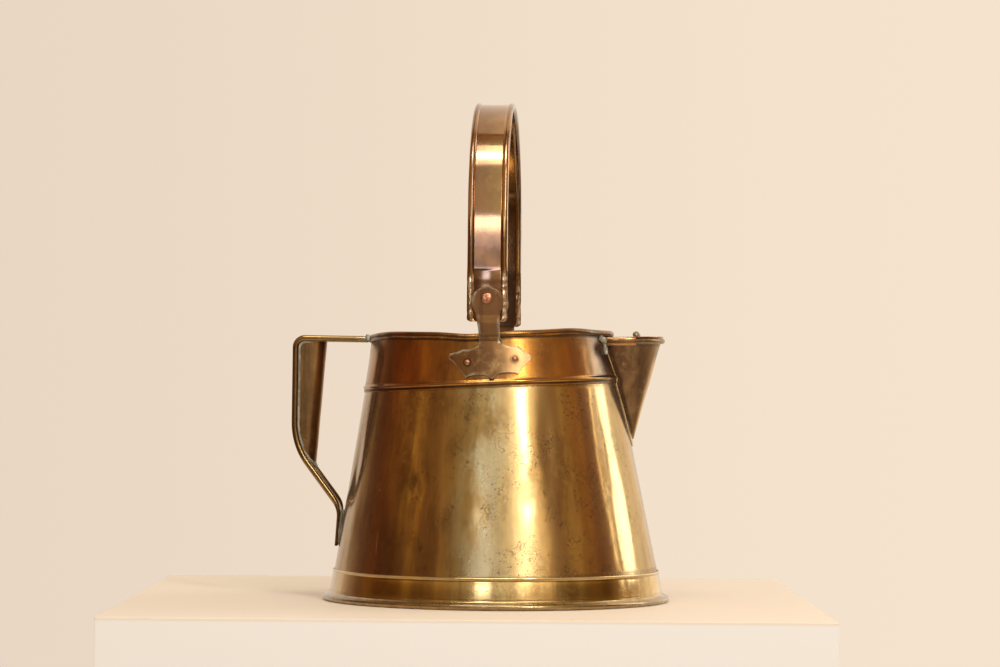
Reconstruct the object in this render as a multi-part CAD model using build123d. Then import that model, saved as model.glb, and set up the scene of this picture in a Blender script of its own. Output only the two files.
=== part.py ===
from build123d import *

import math
import os

# A brass hot water can: a tapering round vessel on a flared foot, with a half-round pouring
# lip, a fixed strap handle behind, a swinging strap handle above and a hinged lid inside the rim.
# Millimetres and degrees. Z = 0 is the table, the spout points to +X, the fixed handle to -X.

# Metal, joints and fits
sheet = 0.8  # brass sheet of the vessel, spout and covers
strap_sheet = 0.9  # sheet of the two strap handles
ear_sheet = 1.2  # plate of the riveted ears
solder = 0.1  # film of solder between two soldered pieces
play = 0.3  # gap between sheets that move past each other
pin_play = 0.06  # radial gap round a pin or rivet
flats = 8  # hammered flats round a wired edge or a rivet

# Vessel: a cone that leans back a little on its level foot
lean = 1.3  # tilt of everything above the foot, toward the fixed handle
ground_radius = 115.6  # the cone's outer radius where it would meet the table
cone_angle = 10.47  # half angle of the cone
rim_height = 185.0
body_lift = 4.0  # bottom edge of the body above the table
bottom_recess = 7.0  # the bottom sheet's height above the table
bottom_flange = 3.0  # turned-down edge of the bottom sheet

# Foot band
foot_flange = 4.4  # how far the foot's wired edge stands out from the cone
foot_height = 21.5
foot_ledge = 1.9  # step from the body out to the band's top edge
foot_flare = 1.9  # how much wider the band is at its bottom
foot_wire = 4.2
foot_wear = 0.15  # flat worn under the wired edge

# Neck band, lapped over the body's top
neck_depth = 38.0  # from the rim down to the band's lower edge
neck_lap = 4.0
ring_drop = 34.0  # from the rim down to the swaged ring
ring_width = 3.4
ring_rise = 1.0
rim_wire = 4.5

# Lid and its fixed front half, sunk inside the rim
cover_drop = 9.0  # from the rim down to the top of the covers
cover_flange = 4.0  # turned-down edge of the fixed half
lid_edge_gap = 0.8  # from the lid's edge to the rim's inside
lid_hem = 4.0  # folded edge round the lid
lid_shelf = 7.0  # width of the ledge that the lid rests on
lid_hinge_x = 4.0
lid_hinge_width = 70.0
lift_width = 16.0
lift_rise = 5.0  # finger lift above the lid
lift_inset = 9.0  # from the lid's rear edge to the finger lift

# Hinges: a barrel of rolled knuckles on a pin
knuckle_radius = 2.3
pin_radius = 1.2

# Spout
spout_depth = 75.0  # from the rim down to the spout's lower tip
spout_drop = 7.6  # from the rim down to the middle of the spout's wired edge
spout_radius = 28.5  # of its round mouth
spout_reach = 6.1  # from the vessel's wall to the middle of the mouth
spout_tip_radius = 2.0
spout_wire = 3.8
spout_flange = 3.0  # soldered flange round the joint with the vessel
spout_hinge_reach = 11.7  # from the middle of the mouth to the flap's hinge
spout_hinge_width = 44.0
flap_overlap = 1.0  # the flap's edge beyond the middle of the wired edge
pour_drop = 18.0  # from the rim down to the hole behind the spout
pour_inset = 6.0  # from the spout's wall to the edge of that hole

# Fixed handle
handle_width = 27.1
handle_wire = 4.2
handle_reach = 53.1  # from the rim out to the handle's top corner
handle_bow = 2.2  # how much further out its lower bend is
handle_top_drop = 1.0  # from the rim down to the handle's top, at the rim
handle_corner_rise = 0.8  # the handle's top corner above the rim
handle_bend_drop = 76.4
handle_knee_drop = 120.7
handle_foot = 25.0  # from the knee down to the end of the flattened foot
handle_knee_gap = 4.5  # from the body out to the handle's outer face at the knee
handle_corner_radius = 8.5
handle_bend_radius = 50.0
handle_knee_radius = 15.0
handle_tab = 2.1  # thickness of the flattened foot
grip_depth = 21.0  # from the strap's middle to the grip's crest, level with the rim
grip_slant = 6.0  # the crest leans toward the strap going down

# Swinging handle
pivot_rise = 21.7  # its rivets above the rim
pivot_x = 2.5
bail_width = 27.1
bail_wire = 4.7
bail_roll_proud = 1.1  # the rolled edges stand out of the strap's outer face
bail_straight = 52.9  # from the rivets up to the start of the crown
bail_tail = 15.7  # from the rivets down to the strap's end
bail_hem_proud = 0.2  # where the edges are hammered flat beside the ears
bail_hem_back = 0.7  # the same on the inner face
bail_hem_top = 15.0  # where the hammered edges start to swell
bail_hem_run = 8.0
bail_corner = 2.0

# Ears: a scalloped plate riveted to the neck, a tongue over the rim and a disc at the rivet
ear_tilt = 3.0
ear_drop = 40.4  # from the swinging handle's rivet down to the middle of the plate
ear_half_width = 26.6
ear_shoulder = (19.2, 8.5)
ear_cheek = (17.6, -9.8)
ear_waist = (10.0, -8.8)
ear_cusp = 12.4
ear_tongue_half_width = 7.0
ear_tongue_top_half_width = 8.7
ear_neck_rise = 14.6  # from the plate's middle up to where the tongue starts
ear_disc_radius = 10.8
ear_disc_drop = 2.8
ear_joggle = 0.9  # step of the disc in toward the strap
rivet_spacing = 32.2
rivet_drop = 0.7
rivet_radius = 1.7
rivet_head_radius = 2.4
rivet_head_rise = 1.3
pivot_rivet_radius = 2.2
pivot_head_radius = 3.85
pivot_head_rise = 2.2
washer_radius = 5.0
washer_sheet = 1.0

taper = math.tan(math.radians(cone_angle))
spout_z = rim_height - spout_drop
spout_tip_z = rim_height - spout_depth
neck_bottom = rim_height - neck_depth
ring_z = rim_height - ring_drop
cover_top = rim_height - cover_drop
cover_z = cover_top - sheet
rim_z = rim_height - rim_wire / 2
pivot_z = rim_height + pivot_rise
handle_knee_z = rim_height - handle_knee_drop
handle_end_z = handle_knee_z - handle_foot
far = 4 * ground_radius  # larger than the whole can, for cutting tools


def cone_radius(z):
    """Outer radius of the body's cone at height z."""
    return ground_radius - z * taper


def neck_radius(z, gap=0.0):
    """Outer radius of the neck band at height z, which laps over the body's cone."""
    return cone_radius(z) + solder + sheet + gap


rim_middle = neck_radius(rim_z) - sheet / 2
rim_outside = rim_middle + rim_wire / 2
rim_inside = rim_middle - rim_wire / 2


def leaned(shape):
    """Tilt a finished piece of the vessel back on the foot."""
    return shape.rotate(Axis.Y, -lean)


def section(*points):
    """A closed outline of (radius, height) points in the plane of the can's axis."""
    return Plane.XZ * make_face(Polyline(*points, close=True))


def roll(size):
    """Section of a sheet hammered closed round a wire, measured across its flats."""
    return Rot(0, 0, 180 / flats) * RegularPolygon(size / 2, flats, major_radius=False)


def roll_section(radius, z, size):
    return Plane.XZ * (Pos(radius, z) * roll(size))


def turned(face):
    return revolve(face, Axis.Z, 360)


def slab(x0, x1, y0, y1, z0, z1):
    """A box between limits."""
    middle = Pos((x0 + x1) / 2, (y0 + y1) / 2, (z0 + z1) / 2)
    return middle * Box(x1 - x0, y1 - y0, z1 - z0)


def fused(shapes):
    """One solid from pieces that overlap."""
    whole = shapes[0]
    for shape in shapes[1:]:
        whole = whole + shape
    return whole


def ring_section(gap=0.0):
    """Section of the ring swaged out of the neck."""
    half = ring_width / 2 + gap
    return section(
        (neck_radius(ring_z - half) - sheet / 2, ring_z - half),
        (neck_radius(ring_z - half, gap), ring_z - half),
        (neck_radius(ring_z, gap) + ring_rise, ring_z),
        (neck_radius(ring_z + half, gap), ring_z + half),
        (neck_radius(ring_z + half) - sheet / 2, ring_z + half),
    )


def vessel(gap=0.0):
    """The vessel as a solid, grown by a gap, for trimming what is soldered to it."""
    cone_top = neck_bottom + neck_lap
    face = section(
        (0, -gap),
        (cone_radius(0) + gap, -gap),
        (cone_radius(cone_top) + gap, cone_top),
        (0, cone_top),
    )
    face += section(
        (0, neck_bottom - gap),
        (neck_radius(neck_bottom, gap), neck_bottom - gap),
        (neck_radius(rim_z, gap), rim_z),
        (0, rim_height + gap),
    )
    face += ring_section(gap)
    face += roll_section(rim_middle, rim_z, rim_wire + 2 * gap)
    return turned(face)


# ---- vessel ----


def pour_hole():
    """Pointed hole through the wall behind the spout, inside the soldered joint."""
    top = rim_height - pour_drop
    rise = (spout_radius - spout_tip_radius) / (spout_z - spout_tip_z)
    half_width = spout_tip_radius + rise * (top - spout_tip_z) - pour_inset
    bottom = top - half_width / rise
    outline = make_face(Polyline((-half_width, top), (half_width, top), (0, bottom), close=True))
    return extrude(Plane.YZ * outline, far)


def body_shell():
    top = neck_bottom + neck_lap
    wall = turned(
        section(
            (cone_radius(body_lift) - sheet, body_lift),
            (cone_radius(body_lift), body_lift),
            (cone_radius(top), top),
            (cone_radius(top) - sheet, top),
        )
    )
    return wall - pour_hole()


def bottom_disc():
    flange_z = bottom_recess - bottom_flange
    edge = cone_radius(bottom_recess + sheet) - sheet - solder
    foot = cone_radius(flange_z) - sheet - solder
    return turned(
        section(
            (0, bottom_recess),
            (edge - sheet, bottom_recess),
            (foot, flange_z),
            (edge, bottom_recess + sheet),
            (0, bottom_recess + sheet),
        )
    )


def foot_band():
    """Level band round the body's foot, wired at its flange, with room for the body's lean."""
    top_radius = cone_radius(foot_height) + foot_ledge
    low_radius = top_radius + foot_flare
    wire_radius = ground_radius + foot_flange - foot_wire / 2
    wire_z = foot_wire / 2 - foot_wear
    flange_top = wire_z + foot_wire / 2
    flange_low = flange_top - sheet
    room = solder + foot_height * math.sin(math.radians(lean))
    band = section(
        (cone_radius(foot_height) + room, foot_height),
        (top_radius, foot_height),
        (low_radius, flange_top),
        (wire_radius, flange_top),
        (wire_radius, flange_low),
        (cone_radius(flange_low) + room, flange_low),
    )
    band += roll_section(wire_radius, wire_z, foot_wire)
    return turned(band) & slab(-far, far, -far, far, 0, far)


def rivet_frame(side):
    """Where a rivet of an ear goes through the neck: a plane that faces straight out of it."""
    tilt = math.radians(ear_tilt)
    along = side * rivet_spacing / 2
    down = ear_drop + rivet_drop
    x = pivot_x + along * math.cos(tilt) + down * math.sin(tilt)
    z = pivot_z + along * math.sin(tilt) - down * math.cos(tilt)
    around = math.asin(x / neck_radius(z))
    slope = math.radians(cone_angle)
    out = Vector(math.sin(around), -math.cos(around), 0)
    normal = out * math.cos(slope) + Vector(0, 0, math.sin(slope))
    return Plane(out * neck_radius(z) + Vector(0, 0, z), z_dir=normal)


def rivet_holes():
    """Holes for the rivets of both ears."""
    reach = 2 * (sheet + ear_sheet)
    punch = extrude(RegularPolygon(rivet_radius + pin_play, flats), reach, both=True)
    holes = [rivet_frame(side) * punch for side in (-1, 1)]
    return holes + [mirror(hole, Plane.XZ) for hole in holes]


def neck_band():
    low = neck_radius(neck_bottom)
    wall = section(
        (low - sheet, neck_bottom),
        (low, neck_bottom),
        (neck_radius(rim_z), rim_z),
        (neck_radius(rim_z) - sheet, rim_z),
    )
    band = wall + ring_section() + roll_section(rim_middle, rim_z, rim_wire)
    return turned(band) - pour_hole() - rivet_holes()


# ---- hinges ----


def knuckles(center, width, toward, moving):
    """Knuckles of one leaf of a hinge on a pin along Y, and the webs that join them to it.

    The barrel sits on the leaf's own level: its lowest line is the underside of the sheet.
    toward is -1 where the leaf lies on the -X side of the pin, and 1 on the +X side.
    The fixed leaf has the two outer knuckles and the moving leaf the middle one.
    """
    span = width / 3
    starts = [-span / 2] if moving else [-1.5 * span, span / 2]
    reach = knuckle_radius + 2 * play
    pieces = []
    for start in starts:
        length = span - play
        middle = start + span / 2
        barrel = Rot(90, 0, 0) * Cylinder(knuckle_radius, length)
        web = slab(min(0, toward * reach), max(0, toward * reach), -length / 2, length / 2,
                   -knuckle_radius, -knuckle_radius + sheet)
        bore = Rot(90, 0, 0) * Cylinder(pin_radius + pin_play, 2 * length)
        pieces.append(Pos(0, middle, 0) * (barrel + web - bore))
    return [Pos(*center) * piece for piece in pieces]


def hinge_gap(center, width, toward):
    """What a leaf loses at its hinge: the half beyond the pin and a strip for the barrel."""
    x, z = center[0], center[2]
    past = slab(-far, far, -far, far, -far, far)
    past = Pos(x - toward * (far - play / 2), 0, z) * past
    strip = knuckle_radius + play
    barrel = slab(x - strip, x + strip, -width / 2 - play, width / 2 + play, z - far, z + far)
    return past + barrel


def hinge_pin(center, width):
    rod = Rot(90, 0, 0) * Cylinder(pin_radius, width + 2 * play)
    return Pos(*center) * rod


lid_hinge = (lid_hinge_x, 0, cover_z + knuckle_radius)


def front_cover():
    """Fixed front half of the top, with a turned-down edge soldered inside the neck."""
    top_edge = neck_radius(cover_top) - sheet - solder
    low_z = cover_z - cover_flange
    low_edge = neck_radius(low_z) - sheet - solder
    plate = turned(
        section(
            (0, cover_z),
            (top_edge - sheet, cover_z),
            (low_edge, low_z),
            (top_edge, cover_top),
            (0, cover_top),
        )
    )
    plate -= hinge_gap(lid_hinge, lid_hinge_width, 1)
    return fused([plate] + knuckles(lid_hinge, lid_hinge_width, 1, False))


def lid():
    """Hinged rear half of the top: a flat sheet with a folded edge."""
    radius = rim_inside - lid_edge_gap
    plate = turned(section((0, cover_z), (radius, cover_z), (radius, cover_top), (0, cover_top)))
    plate += turned(
        section(
            (radius - lid_hem, cover_top),
            (radius, cover_top),
            (radius, cover_top + sheet),
            (radius - lid_hem, cover_top + sheet),
        )
    )
    plate -= hinge_gap(lid_hinge, lid_hinge_width, -1)
    return fused([plate] + knuckles(lid_hinge, lid_hinge_width, -1, True))


def lid_lift():
    """Small half-round finger tab soldered on the lid near its rear edge."""
    x = -(rim_inside - lid_edge_gap - lift_inset)
    foot_z = cover_top + solder
    radius = lift_width / 2
    blade = Pos(0, foot_z) * Ellipse(radius, lift_rise)
    blade &= Pos(0, foot_z + lift_rise) * Rectangle(4 * radius, 2 * lift_rise)
    tab = Pos(x, 0, 0) * extrude(Plane.YZ * blade, strap_sheet)
    sole = slab(x, x + 4 * strap_sheet, -radius, radius, foot_z, foot_z + strap_sheet)
    return tab + sole


def lid_ledge():
    """Half ring soldered inside the neck, which the lid's edge rests on."""
    top = cover_z - play
    outer = neck_radius(top) - sheet - solder
    low = top - cover_flange
    low_outer = neck_radius(low) - sheet - solder
    ring = turned(
        section(
            (outer - lid_shelf, top - sheet),
            (outer - sheet, top - sheet),
            (low_outer, low),
            (outer, top),
            (outer - lid_shelf, top),
        )
    )
    return ring & slab(-far, lid_hinge_x - play / 2, -far, far, 0, far)


# ---- spout ----

spout_center_x = cone_radius(spout_z) + spout_reach
spout_wire_radius = spout_radius + sheet
spout_cover_z = spout_z + spout_wire / 2 + play
spout_hinge = (spout_center_x + spout_hinge_reach, 0, spout_cover_z + knuckle_radius)


def spout_form(grow):
    """The spout's cone as a solid, which widens up along the vessel's wall to a level mouth."""
    tip = Vector(cone_radius(spout_tip_z), 0, spout_tip_z)
    run = Vector(spout_center_x, 0, spout_z) - tip
    beyond = 1.3  # far enough past the mouth to cut it level
    wide = spout_tip_radius + beyond * (spout_radius - spout_tip_radius)
    cone = Cone(
        spout_tip_radius + grow,
        wide + grow,
        beyond * run.length,
        align=(Align.CENTER, Align.CENTER, Align.MIN),
    )
    return Plane(tip, z_dir=run) * cone & slab(-far, far, -far, far, 0, spout_z)


def spout_turned(face):
    """Turn a section, given by distances from the spout's own upright axis."""
    axis = Axis((spout_center_x, 0, 0), (0, 0, 1))
    return revolve(Pos(spout_center_x, 0, 0) * face, axis, 360)


def spout_shell():
    bore = spout_form(-sheet)
    wall = spout_form(0)
    edge = spout_turned(roll_section(spout_wire_radius, spout_z, spout_wire))
    horn = (wall + edge - bore) - vessel(solder)
    horn &= slab(0, far, -far, far, 0, far)
    flange = (spout_form(spout_flange) - bore) & (vessel(solder + sheet) - vessel(solder))
    flange_top = spout_z - spout_wire / 2 - sheet - 2 * solder
    flange &= slab(0, far, -far, far, 0, flange_top)
    return horn + flange


def spout_bridge():
    """Fixed cover over the back of the spout, its sides turned down over the wired edge."""
    skirt = spout_wire_radius + spout_wire / 2 + solder
    cover = spout_turned(
        section(
            (0, spout_cover_z),
            (skirt - sheet, spout_cover_z),
            (skirt, spout_cover_z - sheet),
            (skirt, spout_z),
            (skirt + sheet, spout_z),
            (skirt + sheet, spout_cover_z - sheet / 2),
            (skirt - sheet / 2, spout_cover_z + sheet),
            (0, spout_cover_z + sheet),
        )
    )
    cover -= vessel(solder)
    cover &= slab(0, far, -far, far, 0, far)
    cover -= hinge_gap(spout_hinge, spout_hinge_width, -1)
    return fused([cover] + knuckles(spout_hinge, spout_hinge_width, -1, False))


def spout_flap():
    """Hinged flap over the spout's mouth."""
    radius = spout_wire_radius + flap_overlap
    plate = spout_turned(
        section(
            (0, spout_cover_z),
            (radius, spout_cover_z),
            (radius, spout_cover_z + sheet),
            (0, spout_cover_z + sheet),
        )
    )
    plate -= hinge_gap(spout_hinge, spout_hinge_width, 1)
    return fused([plate] + knuckles(spout_hinge, spout_hinge_width, 1, True))


# ---- fixed handle ----


def inset_corners(points, inset):
    """Shift an open polyline sideways by the same distance along its whole length."""
    spots = [Vector(*point) for point in points]
    sides = []
    for start, end in zip(spots, spots[1:]):
        run = (end - start).normalized()
        sides.append(Vector(-run.Y, run.X, 0))
    shifted = [spots[0] + sides[0] * inset]
    for spot, before, after in zip(spots[1:], sides, sides[1:]):
        shifted.append(spot + (before + after) * (inset / (1 + before.dot(after))))
    shifted.append(spots[-1] + sides[-1] * inset)
    return [(spot.X, spot.Y) for spot in shifted]


def handle_line(inset, start_x=None):
    """The fixed handle's side view, from the rim out, down and back to the body.

    The line lies inside the handle's outer face by the inset.
    """
    points = [
        (-rim_middle, rim_height - handle_top_drop),
        (-rim_outside - handle_reach, rim_height + handle_corner_rise),
        (-rim_outside - handle_reach - handle_bow, rim_height - handle_bend_drop),
        (-cone_radius(handle_knee_z) - handle_knee_gap, handle_knee_z),
        (-cone_radius(handle_end_z) - handle_tab - 2 * solder, handle_end_z),
    ]
    radii = [
        handle_corner_radius - inset,
        handle_bend_radius - inset,
        handle_knee_radius + inset,
    ]
    return FilletPolyline(*inset_corners(points, inset), radius=radii)


def bent_strap(face, inset):
    """Carry a section, drawn across the strap, along the fixed handle's side view."""
    runs = []
    for edge in (Plane.XZ * handle_line(inset)).edges():
        start = Plane(edge @ 0, x_dir=(0, 1, 0), z_dir=edge % 0)
        if edge.geom_type == GeomType.LINE:
            runs.append(extrude(start * face, edge.length))
        else:
            turn = Axis(edge.arc_center, (edge @ 0 - edge.arc_center).cross(edge % 0))
            angle = math.degrees(edge.length / edge.radius)
            runs.append(revolve(start * face, turn, angle))
    return fused(runs)


def handle_strap():
    """Strap with wired edges, hammered flat below the knee where it is soldered to the body."""
    half = handle_width / 2 - handle_wire / 2
    wired = Rectangle(handle_width - handle_wire, strap_sheet)
    wired += Pos(-half, 0) * roll(handle_wire)
    wired += Pos(half, 0) * roll(handle_wire)
    upper = bent_strap(wired, handle_wire / 2)
    lower = bent_strap(Rectangle(handle_width, handle_tab), handle_tab / 2)
    upper &= slab(-far, 0, -far, far, handle_knee_z, far)
    lower &= slab(-far, 0, -far, far, 0, handle_knee_z)
    return upper + lower - vessel(solder)


def handle_inside(inset):
    """Everything on the body's side of a line inside the fixed handle."""
    line = handle_line(inset)
    start = line @ 0
    end = line @ 1
    closing = Polyline((start.X, start.Y), (0, start.Y), (0, end.Y), (end.X, end.Y))
    face = make_face(line + closing)
    return extrude(Plane.XZ * face, far, both=True)


def grip_form(shrink):
    """The hollow grip's outer or inner form: a half-round nose that slants toward the strap."""
    half = handle_width / 2 - handle_wire - solder - shrink
    crest_x = -rim_outside - handle_reach + handle_wire / 2 + grip_depth
    outline = Pos(-half - shrink, 0) * Circle(half)
    outline += Pos(-grip_depth, 0) * Rectangle(2 * (grip_depth - half - shrink), 2 * half)
    length = 2 * handle_knee_drop
    return Pos(crest_x, 0, rim_height) * Rot(0, grip_slant, 0) * extrude(outline, -length)


def handle_grip():
    """Half-round sheet filling the inner side of the handle, closed against the strap."""
    shell = grip_form(0) - grip_form(sheet)
    return shell & handle_inside(handle_wire / 2 + strap_sheet / 2 + solder)


def handle_solder():
    """Wedge of solder between the flattened foot of the handle and the sloping body."""
    half = handle_width / 2 - handle_wire / 2
    wedge = handle_inside(handle_tab) & slab(
        -far, 0, -half, half, handle_end_z + sheet, handle_knee_z
    )
    return wedge - vessel(0)


# ---- swinging handle and its ears ----

ear_y = rim_outside + solder  # inner face of the tongue, on both sides of the can
disc_y = ear_y - ear_joggle
strap_outer_y = disc_y - play - bail_hem_proud  # outer face of the swinging strap
strap_inner_y = strap_outer_y - strap_sheet
bail_radius = strap_outer_y + bail_roll_proud  # out to the rolled edges


def bail_section():
    """Strap section, its outer side up, with the rolled edges' tops at bail_radius."""
    half = bail_width / 2 - bail_wire / 2
    face = Pos(0, strap_outer_y - strap_sheet / 2) * Rectangle(2 * half, strap_sheet)
    for side in (-1, 1):
        face += Pos(side * half, bail_radius - bail_wire / 2) * roll(bail_wire)
    return face


def bail_strap():
    """Strap bent over in a half circle, with its edges hammered flat beside the ears."""
    crown_z = pivot_z + bail_straight
    tail_z = pivot_z - bail_tail
    ring = revolve(Pos(0, 0, crown_z) * bail_section(), Axis((0, 0, crown_z), (1, 0, 0)), 180)
    leg = extrude(Pos(0, 0, tail_z) * bail_section(), crown_z - tail_z)
    flat_z = pivot_z + bail_hem_top
    full_z = flat_z + bail_hem_run
    hammered = make_face(
        Polyline(
            (strap_inner_y - bail_hem_back, tail_z),
            (strap_outer_y + bail_hem_proud, tail_z),
            (strap_outer_y + bail_hem_proud, flat_z),
            (bail_radius, full_z),
            (bail_radius, crown_z),
            (bail_radius - bail_wire, crown_z),
            (bail_radius - bail_wire, full_z),
            (strap_inner_y - bail_hem_back, flat_z),
            close=True,
        )
    )
    leg &= extrude(Plane.YZ * hammered, bail_width, both=True)
    outline = slab(-bail_width / 2, bail_width / 2, 0, far, tail_z, far)
    corners = outline.edges().filter_by(Axis.Y).group_by(Axis.Z)[0]
    leg &= fillet(corners, bail_corner)
    hole = Rot(90, 0, 0) * Cylinder(pivot_rivet_radius + pin_play, 3 * bail_radius)
    strap = fused([ring, leg, mirror(leg, Plane.XZ)]) - Pos(0, 0, pivot_z) * hole
    return Pos(pivot_x, 0, 0) * strap


def ear_outline():
    """Front view of an ear, from the swinging handle's rivet down, before its tilt."""
    shoulder_x, shoulder_z = ear_shoulder
    cheek_x, cheek_z = ear_cheek
    waist_x, waist_z = ear_waist
    scallop = 0.25  # hollow of the scallops as a share of their chord
    corners = [
        (0, -ear_cusp),
        (waist_x, waist_z),
        (cheek_x, cheek_z),
        (ear_half_width, 0),
        (shoulder_x, shoulder_z),
        (ear_tongue_half_width, ear_neck_rise),
    ]
    hollows = (0.5 * scallop, 0.3 * scallop, 0.1 * scallop, 0.1 * scallop, scallop)
    line = []
    for start, end, hollow in zip(corners, corners[1:], hollows):
        run = Vector(*end) - Vector(*start)
        inward = Vector(-run.Y, run.X, 0)
        middle = (Vector(*start) + Vector(*end)) / 2 + inward * hollow
        line.append(ThreePointArc(start, (middle.X, middle.Y), end))
    top = corners[-1]
    line.append(Polyline(top, (0, ear_neck_rise), corners[0]))
    half = make_face(Pos(0, -ear_drop) * Curve(children=line))
    disc_z = -ear_disc_drop
    tongue = make_face(
        Polyline(
            (0, ear_neck_rise - ear_drop),
            (ear_tongue_half_width, ear_neck_rise - ear_drop),
            (ear_tongue_half_width, rim_wire / 2 - pivot_rise),
            (ear_tongue_top_half_width, disc_z - ear_disc_radius * 0.6),
            (0, disc_z),
            close=True,
        )
    )
    half += tongue
    return half + mirror(half, Plane.YZ) + Pos(0, disc_z) * Circle(ear_disc_radius)


def ear():
    """Ear on the -Y side: plate bent to the neck, tongue outside the rim, disc at the rivet."""
    bend_z = rim_z - rim_wire
    start_z = bend_z - ear_sheet
    clear_z = rim_z - rim_wire / 4
    joggle_z = pivot_z - bail_tail
    inner = [
        (neck_radius(start_z, solder), start_z),
        (neck_radius(bend_z, solder), bend_z),
        (ear_y, clear_z),
        (ear_y, joggle_z),
        (disc_y, joggle_z + 4 * ear_joggle),
        (disc_y, pivot_z + ear_disc_radius),
    ]
    outer = [(y + ear_sheet, z) for y, z in reversed(inner)]
    side_view = make_face(Polyline(*inner, *outer, close=True))
    strip = extrude(Plane.YZ * side_view, 2 * ear_disc_radius, both=True)
    strip = mirror(strip, Plane.XZ)
    plate = turned(
        section(
            (neck_radius(0, solder), 0),
            (neck_radius(0, solder + ear_sheet), 0),
            (neck_radius(bend_z, solder + ear_sheet), bend_z),
            (neck_radius(bend_z, solder), bend_z),
        )
    )
    front = pivot_frame() * (Rot(0, 0, ear_tilt) * ear_outline())
    whole = extrude(front, far) & (plate + strip)
    whole -= rivet_holes()
    hole = Rot(90, 0, 0) * Cylinder(pivot_rivet_radius + pin_play, far)
    return whole - Pos(pivot_x, 0, pivot_z) * hole


def rivet(shank, length, head_radius, tail_radius, rise):
    """A shank up from z = 0, with a hammered head above it and a peened tail below."""
    head = extrude(RegularPolygon(head_radius, flats), rise, taper=45)
    tail = extrude(RegularPolygon(tail_radius, flats), rise, taper=45)
    return fused([extrude(shank, length), Pos(0, 0, length) * head, Rot(180, 0, 0) * tail])


def ear_rivets():
    """The two rivets that hold an ear to the neck."""
    out = ear_sheet + 2 * solder
    back = sheet + solder
    shank = RegularPolygon(rivet_radius, flats)
    body = rivet(shank, out + back, rivet_head_radius, rivet_head_radius, rivet_head_rise)
    return Compound([rivet_frame(side) * (Pos(0, 0, -back) * body) for side in (-1, 1)])


def pivot_frame():
    """Plane at the swinging handle's axis, facing out of the can's -Y side."""
    return Plane((pivot_x, 0, pivot_z), x_dir=(1, 0, 0), z_dir=(0, -1, 0))


def pivot_rivet():
    """Copper rivet on the -Y side: through washer, strap and ear, with a peened head each end."""
    inner = strap_inner_y - washer_sheet - 2 * pin_play
    outer = disc_y + ear_sheet + pin_play
    tail_radius = pivot_head_radius - 2 * play
    shank = Circle(pivot_rivet_radius)
    body = rivet(shank, outer - inner, pivot_head_radius, tail_radius, pivot_head_rise)
    return pivot_frame() * (Pos(0, 0, inner) * body)


def pivot_washer():
    """Brass washer on the -Y side, between the strap and the rivet's inner head."""
    ring = extrude(RegularPolygon(washer_radius, 2 * flats), washer_sheet / 2, both=True)
    ring -= Cylinder(pivot_rivet_radius + pin_play, 2 * washer_sheet)
    return pivot_frame() * (Pos(0, 0, strap_inner_y - pin_play - washer_sheet / 2) * ring)


def right_and_left(name, shape):
    """A piece on the -Y side, which is the can's right, and its mirror image on the left."""
    return {f"right_{name}": shape, f"left_{name}": mirror(shape, Plane.XZ)}


def all_parts():
    upright = {
        "body_shell": body_shell(),
        "bottom_disc": bottom_disc(),
        "neck_band": neck_band(),
        "front_cover": front_cover(),
        "lid": lid(),
        "lid_lift": lid_lift(),
        "lid_ledge": lid_ledge(),
        "lid_hinge_pin": hinge_pin(lid_hinge, lid_hinge_width),
        "spout_shell": spout_shell(),
        "spout_bridge": spout_bridge(),
        "spout_flap": spout_flap(),
        "spout_hinge_pin": hinge_pin(spout_hinge, spout_hinge_width),
        "handle_strap": handle_strap(),
        "handle_grip": handle_grip(),
        "handle_solder": handle_solder(),
        **right_and_left("ear", ear()),
        **right_and_left("ear_rivets", ear_rivets()),
        **right_and_left("pivot_rivet", pivot_rivet()),
        **right_and_left("pivot_washer", pivot_washer()),
    }
    parts = {name: leaned(shape) for name, shape in upright.items()}
    parts["foot_band"] = foot_band()
    # the swinging handle stands plumb on its leaning rivets
    axis = Axis((pivot_x, 0, pivot_z), (0, 1, 0))
    parts["bail_strap"] = leaned(bail_strap().rotate(axis, lean))
    return parts


def leaned_point(x, z):
    """Where a point of the upright vessel is once the vessel leans."""
    tilt = math.radians(lean)
    return (x * math.cos(tilt) - z * math.sin(tilt), x * math.sin(tilt) + z * math.cos(tilt))


os.makedirs("parts", exist_ok=True)
for name, shape in all_parts().items():
    export_step(shape, f"parts/{name}.step")
for name, x, z in (
    ("swinging handle", pivot_x, pivot_z),
    ("lid hinge", lid_hinge[0], lid_hinge[2]),
    ("flap hinge", spout_hinge[0], spout_hinge[2]),
):
    print(name, "axis at X, Z =", [round(value, 3) for value in leaned_point(x, z)])
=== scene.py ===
import math
import bpy
import bmesh
from mathutils import Matrix, Vector, noise


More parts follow.
